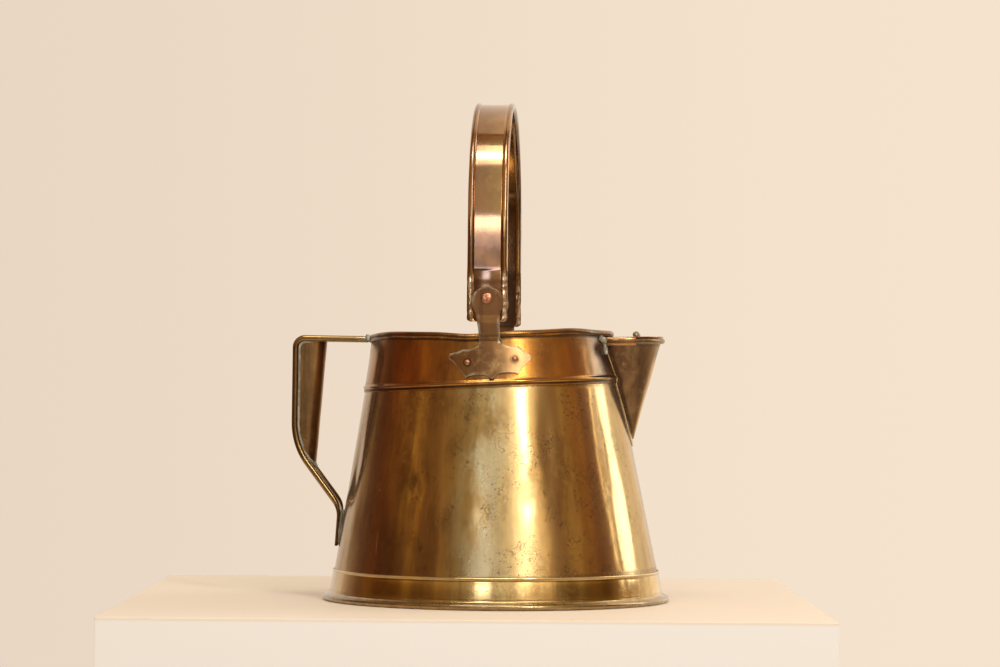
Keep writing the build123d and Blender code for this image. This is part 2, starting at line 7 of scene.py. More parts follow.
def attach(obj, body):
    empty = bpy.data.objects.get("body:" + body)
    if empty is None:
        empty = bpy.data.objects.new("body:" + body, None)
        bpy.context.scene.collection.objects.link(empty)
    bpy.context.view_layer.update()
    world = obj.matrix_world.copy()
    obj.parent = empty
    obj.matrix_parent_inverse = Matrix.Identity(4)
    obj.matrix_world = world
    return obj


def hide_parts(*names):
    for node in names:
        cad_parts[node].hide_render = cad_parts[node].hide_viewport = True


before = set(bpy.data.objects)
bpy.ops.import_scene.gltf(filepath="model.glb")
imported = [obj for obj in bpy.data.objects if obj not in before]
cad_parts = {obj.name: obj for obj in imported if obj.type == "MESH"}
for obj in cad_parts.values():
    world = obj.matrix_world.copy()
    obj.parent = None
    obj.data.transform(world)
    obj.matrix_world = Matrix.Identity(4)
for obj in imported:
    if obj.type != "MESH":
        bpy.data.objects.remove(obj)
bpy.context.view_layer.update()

# Brass hot water can. Sizes in the dictionaries are millimetres and degrees, for the can standing
# upright: settle() leans the vessel on its foot and brings every piece to metres.
vessel = {
    "lean": 1.3,
    "footRadius": 115.6,
    "coneAngle": 10.47,
    "sheet": 0.8,
    "rim": 185.0,
    "lap": 147.0,  # lower edge of the neck band
    "ring": 150.5,  # the swaged ring's middle
    "ringRise": 1.05,
    "ringWidth": 1.75,
    "ringTilt": 0.024,  # the ring and the lap run up toward the spout
    "bead": 2.25,  # half of the wired rim's thickness
    "turns": 288,
}
slope = math.tan(math.radians(vessel["coneAngle"]))
leanTurn = Matrix.Rotation(math.radians(-vessel["lean"]), 4, "Y")
beadZ = vessel["rim"] - vessel["bead"]


def coneRadius(z):
    return vessel["footRadius"] - z * slope


def neckRadius(z):
    return coneRadius(z) + vessel["sheet"] + 0.1


def ringLift(x, z):
    return vessel["ringTilt"] * x * (1 - ease(z, 155, 178))


def wallRadius(z, x=0.0):  # outside of body, neck lap and ring, whichever is there
    low = z - ringLift(x, z)
    if low < vessel["lap"]:
        return coneRadius(z)
    away = (low - vessel["ring"]) / vessel["ringWidth"]
    return neckRadius(z) + vessel["ringRise"] * math.exp(-away * away * 2)


def ease(value, low, high):  # 0 below low, 1 above high, smooth between
    t = min(1, max(0, (value - low) / (high - low)))
    return t * t * (3 - 2 * t)


def near(distance, close, far):  # 1 closer than close, 0 beyond far
    return 1 - ease(abs(distance), close, far)


def between(a, b, t):
    return a + (b - a) * t


def outward(point):  # level, away from the vessel's axis
    return Vector((point.x, point.y, 0)).normalized()


def fromAxis(point):
    return math.hypot(point.x, point.y)


def heading(line, i):  # the way a line of spots runs at one of them
    return (line[min(i + 1, len(line) - 1)] - line[max(i - 1, 0)]).normalized()


def grain(point, size, seed=0):  # smooth noise from about -1 to 1, with bumps of a size
    return noise.noise(Vector(point) / size + Vector((seed * 7.1, seed * 3.3, -seed * 5.7)))


camera = {"distance": 2240, "turn": 3.6, "eye": 144, "lens": 116.03, "pitch": 1.04, "roll": 0.45}
turn = math.radians(camera["turn"])
seen = bpy.data.objects.new("Camera", bpy.data.cameras.new("Camera"))
seen.data.lens = camera["lens"]
seen.data.sensor_width = 36
seen.data.shift_x = 0.0022
seen.location = Vector((math.sin(turn) * camera["distance"], -math.cos(turn) * camera["distance"],
                        camera["eye"])) / 1000
seen.rotation_euler = (Matrix.Rotation(turn, 3, "Z")
                       @ Matrix.Rotation(math.radians(90 + camera["pitch"]), 3, "X")
                       @ Matrix.Rotation(math.radians(camera["roll"]), 3, "Z")).to_euler()
bpy.context.scene.collection.objects.link(seen)
bpy.context.scene.camera = seen
print("camera set")


class Wire:  # a node's output: + - * / on it add Math nodes
    def __init__(self, desk, socket):
        self.desk, self.socket = desk, socket

    def math(self, operation, *values):
        return self.desk.node("ShaderNodeMath", {"operation": operation}, values)

    def __add__(self, other):
        return self.math("ADD", self, other)

    def __radd__(self, other):
        return self.math("ADD", other, self)

    def __sub__(self, other):
        return self.math("SUBTRACT", self, other)

    def __rsub__(self, other):
        return self.math("SUBTRACT", other, self)

    def __mul__(self, other):
        return self.math("MULTIPLY", self, other)

    def __rmul__(self, other):
        return self.math("MULTIPLY", other, self)

    def __truediv__(self, other):
        return self.math("DIVIDE", self, other)

    def sine(self):
        return self.math("SINE", self)

    def cosine(self):
        return self.math("COSINE", self)

    def ramp(self, low, high):  # 0 below low, 1 above high
        return self.desk.node("ShaderNodeMapRange", {"interpolation_type": "SMOOTHSTEP"},
                              (self, low, high, 0.0, 1.0))

    def hump(self, middle, width):  # 1 at the middle, 0 a width away
        return 1 - self.math("ABSOLUTE", self - middle).ramp(0.0, width)


class Desk:  # lays out one node tree
    def __init__(self, tree):
        self.tree = tree

    def node(self, kind, settings=None, values=(), out=0):
        made = self.tree.nodes.new(kind)
        for name, setting in (settings or {}).items():
            if name == "stops":
                stops = made.color_ramp.elements
                while len(stops) < len(setting):
                    stops.new(0.5)
                for stop, (place, colour) in zip(stops, setting):
                    stop.position, stop.color = place, colour
            else:
                setattr(made, name, setting)
        for key, value in (values.items() if isinstance(values, dict) else enumerate(values)):
            if isinstance(value, Wire):
                self.tree.links.new(value.socket, made.inputs[key])
            else:
                made.inputs[key].default_value = value
        return Wire(self, made.outputs[out]) if made.outputs else None

    def noise(self, place, scale, detail=3.0, rough=0.5, distort=0.0):
        return self.node("ShaderNodeTexNoise", None, {
            "Vector": place, "Scale": scale, "Detail": detail, "Roughness": rough,
            "Distortion": distort})

    def vector(self, operation, *values):
        return self.node("ShaderNodeVectorMath", {"operation": operation}, values)

    def scaled(self, place, stretch):
        return self.vector("MULTIPLY", place, stretch)

    def parts(self, place):
        return [self.node("ShaderNodeSeparateXYZ", None, (place,), axis) for axis in range(3)]


def colour(red, green, blue):  # from a screen colour of 0 to 255
    return tuple(((v / 255 + 0.055) / 1.055) ** 2.4 if v > 10 else v / 3294
                 for v in (red, green, blue)) + (1.0,)


class Finish(Desk):  # one metal finish, laid out on object coordinates
    def __init__(self, name):
        self.material = bpy.data.materials.new(name)
        self.material.use_nodes = True
        super().__init__(self.material.node_tree)
        self.tree.nodes.clear()
        self.place = self.node("ShaderNodeTexCoord", out="Object")
        self.x, self.y, self.z = self.parts(self.place)
        self.dull = 0.0  # what an extra layer adds to the roughness

    def around(self):  # degrees round from the front, the spout's way positive
        return self.x.math("ARCTAN2", self.x, 0 - self.y) * 57.3

    def mix(self, share, first, second, blend="MIX"):
        return self.node("ShaderNodeMix", {"data_type": "RGBA", "blend_type": blend},
                         {0: share, 6: first, 7: second}, 2)

    def mark(self, name):  # a value kept on the mesh, such as grime and painted shade
        return self.node("ShaderNodeAttribute", {"attribute_name": name}, (), "Fac")

    def bump(self, height, depth, strength=1.0):
        return self.node("ShaderNodeBump", None,
                         {"Strength": strength, "Distance": depth, "Height": height})

    def done(self, base, rough, metallic=1.0, normal=None, coat=0.0, coatRough=0.15,
             coatBend=1.5):
        values = {"Base Color": base, "Roughness": rough, "Metallic": metallic,
                  "Coat Weight": coat, "Coat Roughness": coatRough, "Coat IOR": coatBend}
        if normal is not None:
            values["Normal"] = normal
        surface = self.node("ShaderNodeBsdfPrincipled", None, values)
        self.node("ShaderNodeOutputMaterial", None, (surface,))
        return self.material


verdigris = colour(158, 168, 146)
# the brown of grime, of pits and of painted shade
grimeAndShadeBrown = colour(46, 30, 16)


def agedBrass(name, base, deep, pale, rough=0.3, cloud=26.0, cloudy=0.6, speckle=0.5, coat=0.45,
              wipes=0.12, scribble=0.0, beaten=1.0, film=0.42, bend=1.5, extra=None):
    f = Finish(name)
    base, deep, pale = colour(*base), colour(*deep), colour(*pale)
    broad = f.noise(f.place, cloud, 5.0, 0.6, 0.4)
    fine = f.noise(f.place, cloud * 7, 4.0, 0.65)
    streak = f.noise(f.scaled(f.place, (1.0, 1.0, 0.08)), cloud * 6, 5.0, 0.6, 0.3)
    stain = (broad * 0.5 + streak * 0.5).ramp(0.42, 0.6)
    tone = f.mix(stain * cloudy, base, deep)
    tone = f.mix((fine * 0.5 + broad * 0.5).ramp(0.52, 0.72) * 0.55, tone, pale)
    if extra:
        tone = extra(f, tone)
    cells = f.node("ShaderNodeTexVoronoi", None, {"Vector": f.place, "Scale": 330.0})
    sparse = f.noise(f.place, 34.0, 2.0).ramp(0.48, 0.62)
    pits = (1 - cells.ramp(0.10, 0.24)) * sparse * speckle
    hollow = pits
    if scribble:  # thin curled lines that old polish and drips have left
        curl = f.noise(f.place, 150.0, 1.5, 0.5, 0.8) - 0.5
        where = f.noise(f.place, 52.0, 1.0).ramp(0.47, 0.57)
        pits = pits.math("MAXIMUM", pits, curl.hump(0.0, 0.022) * where * scribble)
    tone = f.mix(pits, tone, grimeAndShadeBrown)
    # grime darkens toward brown: grime at seams and joints, and painted shade in creases, beside
    # the ring and the hem, round rivets and inside the bail
    grime = f.mark("grime") * (fine * 0.7 + 0.5)
    tone = f.mix(grime.ramp(0.15, 0.85) * 0.85, tone, grimeAndShadeBrown)
    green = f.mark("green") * fine.ramp(0.35, 0.6)
    tone = f.mix(green * 0.85, tone, verdigris)
    # worn pales the brass: rubbed edges, and in places a painted highlight, on the neck ring's
    # crest, the foot hem's top, the spout's nose and the ear's right wing
    worn = f.mark("worn")
    tone = f.mix(worn * 0.6, tone, pale)
    scratch = f.noise(f.scaled(f.place, (1.0, 1.0, 0.06)), 900.0, 2.0, 0.7)
    dimple = f.noise(f.place, 55.0, 2.0, 0.5)
    height = dimple * 0.6 * beaten + scratch * 0.05 + fine * 0.06 - hollow * 0.2
    normal = f.bump(height, 0.0003, 0.4)
    gloss = rough + broad * 0.08 + fine * 0.10 + (streak - 0.5) * wipes - 0.08
    gloss = gloss + grime * 0.25 + green * 0.3 - worn * 0.06 + f.dull
    return f.done(tone, gloss, 1 - (green * 0.8 + grime * 0.3).ramp(0.1, 1.1) * 0.8, normal,
                  coat, film, bend)


def bodyStainsAndHighlights(f, tone):  # where the polish is thin or the brass has gone red, with painted highlight tints and a painted glint
    around = f.around()
    wander = (f.noise(f.scaled(f.place, (1.0, 1.0, 0.35)), 22.0, 3.0) - 0.5) * 22
    at = around + wander
    tone = f.mix(at.hump(-46.0, 13.0) * 0.5, tone, colour(158, 98, 34))
    haze = f.noise(f.scaled(f.place, (1.0, 1.0, 0.3)), 60.0, 4.0, 0.6).ramp(0.36, 0.6)
    veil = at.hump(-4.0, 20.0) * haze
    f.dull = veil * 0.10 + at.hump(0.0, 26.0) * 0.05
    tone = f.mix(veil * 0.85, tone, colour(182, 170, 134))
    # paler at 16° and 62°, where the key lamp and the window reflect: painted highlight tints; the
    # other three are tone
    for middle, width, share, shade in (
            (16.0, 15.0, 0.5, (204, 180, 132)), (62.0, 14.0, 0.6, (204, 184, 138)),
            (42.0, 16.0, 0.55, (172, 122, 46)), (26.0, 7.0, 0.3, (144, 98, 44)),
            (-24.0, 5.0, 0.3, (136, 92, 40))):
        tone = f.mix(at.hump(middle, width) * share, tone, colour(*shade))
    # a pale dot on the small ding: a painted glint; a pale slanted line lower down
    nickGlint = around.hump(-46.7, 0.5) * f.z.hump(0.0773, 0.0009)
    line = (around + 43.0 + f.z * 30.0).hump(0.0, 0.3) * f.z.hump(0.037, 0.016)
    line = line.math("MINIMUM", line * 3, 1.0) * f.noise(f.place, 700.0, 1.0).ramp(0.42, 0.52)
    return f.mix(nickGlint.math("MAXIMUM", nickGlint, line * 0.7), tone, colour(236, 222, 196))


def neckStainsAndShade(f, tone):
    around = f.around()
    wander = (f.noise(f.scaled(f.place, (1.0, 1.0, 0.2)), 30.0, 3.0) - 0.5) * 16
    at = around + wander
    tone = f.mix(at.hump(-42.0, 30.0) * 0.6, tone, colour(140, 76, 28))
    tone = f.mix(at.hump(32.0, 26.0) * 0.6, tone, colour(172, 114, 36))
    # darker grey at 58°, where the window reflects on the neck: painted shade
    return f.mix(around.hump(58.0, 14.0) * 0.85, tone, colour(98, 88, 74))


def bareMetal(f, tone):  # pale tin that shows at hammered edges
    share = f.mark("tin") * f.noise(f.place, 240.0, 3.0, 0.6).ramp(0.3, 0.55)
    f.dull = share * 0.3
    return f.mix(share, tone, colour(212, 204, 188))


finishes = {
    "vessel_brass": agedBrass("aged brass, vessel", (167, 135, 76), (128, 95, 45),
                              (198, 172, 118), 0.14, cloudy=0.75, speckle=0.75, coat=0.42,
                              wipes=0.2, scribble=0.5, extra=bodyStainsAndHighlights),
    "neck": agedBrass("aged brass, neck", (166, 118, 54), (118, 74, 30),
                      (186, 146, 84), 0.15, cloudy=0.8, coat=0.3, wipes=0.2,
                      extra=neckStainsAndShade),
    "foot_brass": agedBrass("aged brass, foot", (194, 160, 88), (156, 118, 56),
                            (226, 208, 154), 0.12, speckle=0.3, coat=0.8, wipes=0.08,
                            beaten=0.3, film=0.16, bend=1.8),
    "spout_brass": agedBrass("dull brass, spout", (132, 102, 66), (94, 64, 40),
                             (204, 168, 112), 0.36, cloudy=0.8),
    # the flange brass is painted pale: a painted highlight along the spout's joint
    "flange": agedBrass("flange brass", (206, 186, 148), (160, 136, 98),
                        (236, 226, 200), 0.26, coat=0.3),
    "cover": agedBrass("brass cover of the spout", (158, 108, 62), (108, 70, 40),
                       (216, 176, 122), 0.24),
    "handle_brass": agedBrass("handled brass", (152, 103, 52), (108, 70, 36),
                              (212, 168, 92), 0.1, coat=0.8, beaten=0.15, film=0.13,
                              bend=1.9, extra=bareMetal),
    "olive_strap": agedBrass("olive brass of the fixed handle", (140, 112, 68),
                             (96, 74, 42), (190, 160, 106), 0.2, coat=0.3,
                             extra=bareMetal),
    "grip": agedBrass("handled brass, grip", (166, 126, 76), (112, 84, 50),
                      (190, 152, 98), 0.28, cloudy=0.85, coat=0.3, wipes=0.2),
    "ear_brass": agedBrass("riveted plate brass", (126, 88, 50), (88, 58, 36),
                           (190, 156, 104), 0.33, coat=0.25, extra=bareMetal),
    "inner_brass": agedBrass("unpolished brass", (112, 84, 50), (70, 50, 32),
                             (138, 108, 68), 0.45, speckle=0.8, coat=0.05),
    "hinge_wire": agedBrass("hinge wire", (176, 168, 136), (124, 120, 92),
                            (204, 200, 176), 0.4, speckle=0.2),
}


def copperFinish():
    f = Finish("rivet copper")
    fine = f.noise(f.place, 420.0, 3.0, 0.6)
    broad = f.noise(f.place, 150.0, 3.0, 0.6)
    tone = f.mix(broad.ramp(0.4, 0.65), colour(206, 146, 116), colour(156, 96, 74))
    tone = f.mix(fine.ramp(0.55, 0.7) * 0.6, tone, colour(232, 192, 166))
    tone = f.mix(f.mark("grime") * 0.8, tone, grimeAndShadeBrown)
    return f.done(tone, 0.30 + fine * 0.2, 1.0, f.bump(fine * 0.6 + broad, 0.0003, 0.6), 0.15)


def solderFinish():
    f = Finish("old soft solder")
    fine = f.noise(f.place, 380.0, 4.0, 0.65)
    broad = f.noise(f.place, 90.0, 3.0, 0.6)
    tone = f.mix(broad.ramp(0.4, 0.62), colour(190, 184, 170), colour(140, 136, 118))
    tone = f.mix(fine.ramp(0.55, 0.7) * 0.5, tone, colour(222, 218, 206))
    tone = f.mix(f.noise(f.place, 130.0, 4.0).ramp(0.55, 0.68) * 0.4, tone, colour(120, 132, 100))
    return f.done(tone, 0.42 + fine * 0.25, 0.3, f.bump(fine + broad, 0.0004, 0.7), 0.0)


finishes["rivet_copper"] = copperFinish()
finishes["soft_solder"] = solderFinish()
print("finishes made")


def skinRows(rows, closeRow=True, closeAll=False, caps=False):
    bm = bmesh.new()
    grid = [[bm.verts.new(point) for point in row] for row in rows]
    for i in range(len(grid) if closeAll else len(grid) - 1):
        a, b = grid[i], grid[(i + 1) % len(grid)]
        for j in range(len(a) if closeRow else len(a) - 1):
            k = (j + 1) % len(a)
            bm.faces.new((a[j], a[k], b[k], b[j]))
    if caps:
        bm.faces.new(grid[0])
        bm.faces.new(grid[-1])
    return bm


def loft(rows):  # closed sections one after the other, with capped ends
    return skinRows(rows, caps=True)


def rod(x, z, sections, sides=24):  # round, along Y, from sections of (y, radius)
    angles = [2 * math.pi * i / sides for i in range(sides)]
    return loft([[(x + r * math.cos(a), y, z + r * math.sin(a)) for a in angles]
                 for y, r in sections])


def lathe(outline, turns=None, middle=(0.0, 0.0)):  # outline of (radius, z) closed on itself
    turns = turns or vessel["turns"]
    rows = []
    for i in range(turns):
        a = 2 * math.pi * i / turns
        rows.append([(middle[0] + r * math.cos(a), middle[1] + r * math.sin(a), z)
                     for r, z in outline])
    bm = skinRows(rows, closeAll=True)
    bmesh.ops.remove_doubles(bm, verts=bm.verts, dist=1e-4)
    bmesh.ops.dissolve_degenerate(bm, edges=bm.edges, dist=1e-4)
    return bm


def arcPoints(middle, radius, start, end, count):
    return [(middle[0] + radius * math.cos(math.radians(between(start, end, i / count))),
             middle[1] + radius * math.sin(math.radians(between(start, end, i / count))))
            for i in range(count + 1)]


def joined(*pieces):
    whole = bmesh.new()
    for bm in pieces:
        part = bpy.data.meshes.new("part")
        bm.to_mesh(part)
        bm.free()
        whole.from_mesh(part)
        bpy.data.meshes.remove(part)
    return whole


def looseObject(bm, name="work", turned=True):
    mesh = bpy.data.meshes.new(name)
    if turned:
        bmesh.ops.recalc_face_normals(bm, faces=bm.faces)
    bm.to_mesh(mesh)
    bm.free()
    thing = bpy.data.objects.new(name, mesh)
    bpy.context.scene.collection.objects.link(thing)
    return thing


def evaluated(thing):  # the mesh that an object's modifiers make; the object goes
    bpy.context.view_layer.update()
    done = bpy.data.meshes.new_from_object(
        thing.evaluated_get(bpy.context.evaluated_depsgraph_get()))
    thing.modifiers.clear()
    result = bmesh.new()
    result.from_mesh(done)
    bpy.data.meshes.remove(done)
    bpy.data.objects.remove(thing)
    return result


def worked(bm, *steps, turned=True):  # runs modifiers on a mesh and returns the result
    thing = looseObject(bm, turned=turned)
    tools = []
    for kind, settings in steps:
        step = thing.modifiers.new(kind, kind)
        for name, value in settings.items():
            if isinstance(value, bmesh.types.BMesh):
                value = looseObject(value, "tool")
                tools.append(value)
            setattr(step, name, value)
    result = evaluated(thing)
    for tool in tools:
        bpy.data.objects.remove(tool)
    return result


def cut(bm, tool, operation="DIFFERENCE"):
    return worked(bm, ("BOOLEAN", {"operation": operation, "solver": "EXACT", "object": tool}))


def block(x0, x1, y0, y1, z0, z1):
    bm = bmesh.new()
    bmesh.ops.create_cube(bm, size=1, matrix=Matrix.Translation(
        ((x0 + x1) / 2, (y0 + y1) / 2, (z0 + z1) / 2)) @ Matrix.Diagonal(
        (x1 - x0, y1 - y0, z1 - z0, 1)))
    return bm


def prism(points, y0, y1):  # a side view's outline of (x, z), carried across
    return loft([[(x, y, z) for x, z in points] for y in (y0, y1)])


def settle(name, bm, slot, nodes=(), body="root", leaning=True, sharp=38, marks=None,
           finish=None):
    # brings a finished mesh to metres and to its place, and rides it on its body
    bmesh.ops.recalc_face_normals(bm, faces=bm.faces)
    for mark, rule in (marks or {}).items():
        layer = bm.verts.layers.float.get(mark) or bm.verts.layers.float.new(mark)
        for vert in bm.verts:
            vert[layer] = min(1, max(0, rule(vert.co)))
    bm.transform(Matrix.Scale(0.001, 4))
    if leaning:
        bm.transform(leanTurn)
    for edge in bm.edges:
        edge.smooth = len(edge.link_faces) != 2 or edge.calc_face_angle(0) < math.radians(sharp)
    for face in bm.faces:
        face.smooth = True
    mesh = bpy.data.meshes.new(name)
    bm.to_mesh(mesh)
    bm.free()
    mesh.materials.clear()
    mesh.materials.append(finishes[finish or slot])
    for face in mesh.polygons:
        face.material_index = 0
    piece = bpy.data.objects.new(name, mesh)
    bpy.context.scene.collection.objects.link(piece)
    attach(piece, body)
    if nodes:
        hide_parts(*nodes)
    return piece


def newTree(name, inputs):
    tree = bpy.data.node_groups.new(name, "GeometryNodeTree")
    tree.interface.new_socket("Geometry", in_out="INPUT", socket_type="NodeSocketGeometry")
    for label, value in inputs.items():
        kind = "NodeSocketInt" if isinstance(value, int) else "NodeSocketFloat"
        tree.interface.new_socket(label, in_out="INPUT", socket_type=kind).default_value = value
    tree.interface.new_socket("Geometry", in_out="OUTPUT", socket_type="NodeSocketGeometry")
    desk = Desk(tree)
    start = tree.nodes.new("NodeGroupInput")
    given = {socket.name: Wire(desk, socket) for socket in start.outputs if socket.name}
    return desk, given


def closeTree(desk, geometry, finish):
    real = desk.node("GeometryNodeRealizeInstances", None, {"Geometry": geometry})
    coated = desk.node("GeometryNodeSetMaterial", None, {"Geometry": real, "Material": finish})
    desk.node("NodeGroupOutput", None, {"Geometry": coated})


def grown(bm, tree, **values):  # runs a tree on a mesh and returns the result as a mesh
    thing = looseObject(bm)
    step = thing.modifiers.new("grown", "NODES")
    step.node_group = tree
    for socket in tree.interface.items_tree:
        if socket.in_out == "INPUT" and socket.name in values:
            step[socket.identifier] = values[socket.name]
    return evaluated(thing)


def wallTree():
    desk, given = newTree("vessel wall", {
        "Low": 4.0, "Top": 151.0, "Low Radius": 100.0, "Top Radius": 80.0, "Sheet": 0.8,
        "Wave": 0.4, "Wave Size": 60.0, "Turns": 288, "Rows": 90, "Seed": 3})
    grid = desk.node("GeometryNodeMeshGrid", None, {
        "Size X": 1.0, "Size Y": 1.0, "Vertices X": given["Turns"], "Vertices Y": given["Rows"]})
    u, v, _ = desk.parts(desk.node("GeometryNodeInputPosition"))
    angle, up = (u + 0.5) * (2 * math.pi), v + 0.5
    z = given["Low"] + up * (given["Top"] - given["Low"])
    radius = given["Low Radius"] + up * (given["Top Radius"] - given["Low Radius"])

    def placed(reach):
        return desk.node("ShaderNodeCombineXYZ", None,
                         (angle.cosine() * reach, angle.sine() * reach, z))

    size = v.math("DIVIDE", 1.0, given["Wave Size"])
    ripple = desk.node("ShaderNodeTexNoise", {"noise_dimensions": "4D"}, {
        "Vector": placed(radius), "W": given["Seed"] + 0.5, "Scale": size, "Detail": 1.5})
    calm = v.math("ABSOLUTE", v).ramp(0.36, 0.5)  # no waves where the wall meets foot and neck
    reach = radius + (ripple - 0.5) * 2 * given["Wave"] * (1 - calm)
    outer = desk.node("GeometryNodeSetPosition", None,
                      {"Geometry": grid, "Position": placed(reach)})
    outer = desk.node("GeometryNodeMergeByDistance", None, {"Geometry": outer, "Distance": 0.001})
    level = desk.scaled(desk.node("GeometryNodeInputPosition"), (1.0, 1.0, 0.0))
    inward = desk.node("ShaderNodeVectorMath", {"operation": "SCALE"}, {
        "Vector": desk.vector("NORMALIZE", level), "Scale": 0 - given["Sheet"]})
    inner = desk.node("GeometryNodeExtrudeMesh", {"mode": "FACES"}, {
        "Mesh": outer, "Offset": inward, "Offset Scale": 1.0, "Individual": False})
    both = desk.node("GeometryNodeJoinGeometry")
    for part in (inner, desk.node("GeometryNodeFlipFaces", None, {"Mesh": outer})):
        desk.tree.links.new(part.socket, both.socket.node.inputs[0])
    shell = desk.node("GeometryNodeMergeByDistance", None, {"Geometry": both, "Distance": 0.001})
    closeTree(desk, shell, finishes["vessel_brass"])
    return desk.tree


def hammered(desk, given, geometry, shift):  # moves every point a little, as hammering does
    beat = desk.node("ShaderNodeTexNoise", {"noise_dimensions": "4D"}, {
        "Vector": desk.node("GeometryNodeInputPosition"), "W": given["Seed"] + shift,
        "Scale": given["Hammer Scale"], "Detail": 1.0}, 1)
    push = desk.node("ShaderNodeVectorMath", {"operation": "SCALE"}, {
        "Vector": desk.vector("SUBTRACT", beat, (0.5, 0.5, 0.5)), "Scale": given["Hammer"] * 2})
    return desk.node("GeometryNodeSetPosition", None, {"Geometry": geometry, "Offset": push})


def edgeTree(name, finish):
    # a round edge or a bead of solder along the path, hammered or blobby
    desk, given = newTree(name, {
        "Radius": 2.0, "Sides": 20, "Hammer": 0.1, "Hammer Scale": 0.4, "Wobble": 0.0,
        "Wobble Scale": 0.2, "Seed": 1})
    line = desk.node("GeometryNodeMeshToCurve", None, {"Mesh": given["Geometry"]})
    swell = desk.node("ShaderNodeTexNoise", {"noise_dimensions": "4D"}, {
        "Vector": desk.node("GeometryNodeInputPosition"), "W": given["Seed"] + 0.3,
        "Scale": given["Wobble Scale"]})
    ring = desk.node("GeometryNodeCurvePrimitiveCircle", None, {
        "Resolution": given["Sides"], "Radius": given["Radius"]})
    tube = desk.node("GeometryNodeCurveToMesh", None, {
        "Curve": line, "Profile Curve": ring, "Fill Caps": True,
        "Scale": 1 + (swell - 0.5) * 2 * given["Wobble"]})
    closeTree(desk, hammered(desk, given, tube, 4.1), finishes[finish])
    return desk.tree


def rivetTree():
    desk, given = newTree("rivet heads", {
        "Head Radius": 2.4, "Head Rise": 1.3, "Hammer": 0.25, "Hammer Scale": 0.5, "Seed": 2})
    ball = desk.node("GeometryNodeMeshUVSphere", None, {"Segments": 28, "Rings": 16, "Radius": 1.0})
    head = desk.node("GeometryNodeTransform", None, {
        "Geometry": ball, "Scale": desk.node("ShaderNodeCombineXYZ", None, (
            given["Head Radius"], given["Head Radius"], given["Head Rise"]))})
    facing = desk.node("GeometryNodeInputNamedAttribute", {"data_type": "FLOAT_VECTOR"},
                       {"Name": "facing"})
    way = desk.node("FunctionNodeAlignRotationToVector", {"axis": "Z"}, {"Vector": facing})
    heads = desk.node("GeometryNodeInstanceOnPoints", None, {
        "Points": given["Geometry"], "Instance": head, "Rotation": way})
    heads = desk.node("GeometryNodeRealizeInstances", None, {"Geometry": heads})
    closeTree(desk, hammered(desk, given, heads, 0.7), finishes["rivet_copper"])
    return desk.tree


wall = wallTree()
rolledEdge = edgeTree("rolled edge", "vessel_brass")
solderRun = edgeTree("solder run", "soft_solder")
rivetHeads = rivetTree()


def pathMesh(points, closed=False):
    bm = bmesh.new()
    verts = [bm.verts.new(point) for point in points]
    for a, b in zip(verts, verts[1:] + ([verts[0]] if closed else [])):
        bm.edges.new((a, b))
    return bm


def solderBead(points, radius, seed, wobble=0.45, hammer=0.25, closed=False):
    return grown(pathMesh(points, closed), solderRun, Radius=radius, Sides=14, Hammer=hammer,
                 Wobble=wobble, Seed=seed, **{"Hammer Scale": 0.9, "Wobble Scale": 0.35})


body = {"low": 4.0, "top": 151.0, "wave": 0.35, "rows": 110}
dents = [  # angle round from the front, height, radius along and up, depth
    (-27.5, 80, 5, 9, 0.55), (-31, 68, 7, 16, 0.5), (-31, 104, 6, 22, -0.3),
    (-70, 92, 8, 24, 1.1), (-62, 58, 8, 18, -0.5), (-46, 84, 2.2, 3.4, 0.5),
    (26, 104, 6, 30, 0.5), (33, 66, 6, 30, 0.45), (39, 118, 4, 26, 0.25), (15, 70, 8, 10, 0.22),
    (-4, 54, 14, 8, 0.14), (5, 66, 9, 7, 0.18), (20, 88, 4, 6, 0.18), (53, 96, 5, 30, 0.25),
    (60, 60, 6, 30, 0.3), (-48, 112, 9, 20, 0.3), (150, 70, 14, 22, 0.7), (118, 96, 12, 26, 0.5),
    (-128, 80, 12, 24, 0.6), (-160, 110, 14, 14, 0.5),
]


def frontAngle(point):  # degrees round from the front, the spout's way positive
    return math.degrees(math.atan2(point[0], -point[1]))


def dentDepth(point):
    depth = 0
    for angle, height, wide, tall, deep in dents:
        off = (frontAngle(point) - angle + 180) % 360 - 180
        off = math.radians(off) * 100 / wide
        rise = (point[2] - height) / tall
        depth += deep * math.exp(-off * off - rise * rise)
    return depth


def pourHole(grow=0.0):
    half, top, bottom = 13.7 + grow, 167 + grow, 132 - grow
    points = [(-half, top), (half, top), (1.5, bottom), (-1.5, bottom)]
    return loft([[(x, y, z) for y, z in points] for x in (60, 110)])


shell = grown(bmesh.new(), wall, Low=body["low"], Top=body["top"], Sheet=vessel["sheet"],
              Wave=body["wave"], Turns=vessel["turns"] + 1, Rows=body["rows"], **{
                  "Low Radius": coneRadius(body["low"]), "Top Radius": coneRadius(body["top"])})
for vert in shell.verts:
    out = outward(vert.co)
    vert.co -= out * dentDepth(vert.co)
shell = cut(shell, pourHole())


# darker above the foot hem, a painted shadow under the neck band's lap, and grime along the side
# seam
def bodyGrimeAndShade(point):
    seam = near(frontAngle(point) + 57, 0.3, 1.0) * (0.5 + 0.5 * grain(point, 14, 3))
    return 0.5 * (1 - ease(point.z, 21.6, 23)) + 0.5 * ease(point.z, 145, 147) + 0.35 * seam


settle("vessel_body", shell, "vessel_brass", ["body_shell"], marks={"grime": bodyGrimeAndShade})

neck = {"flare": 0.3, "bumps": [(-6, 12, -1.9), (-52, 18, 1.1), (44, 15, 1.3)]}


def rimDip(angle):
    return sum(rise * math.exp(-((angle - middle) / wide) ** 2)
               for middle, wide, rise in neck["bumps"])


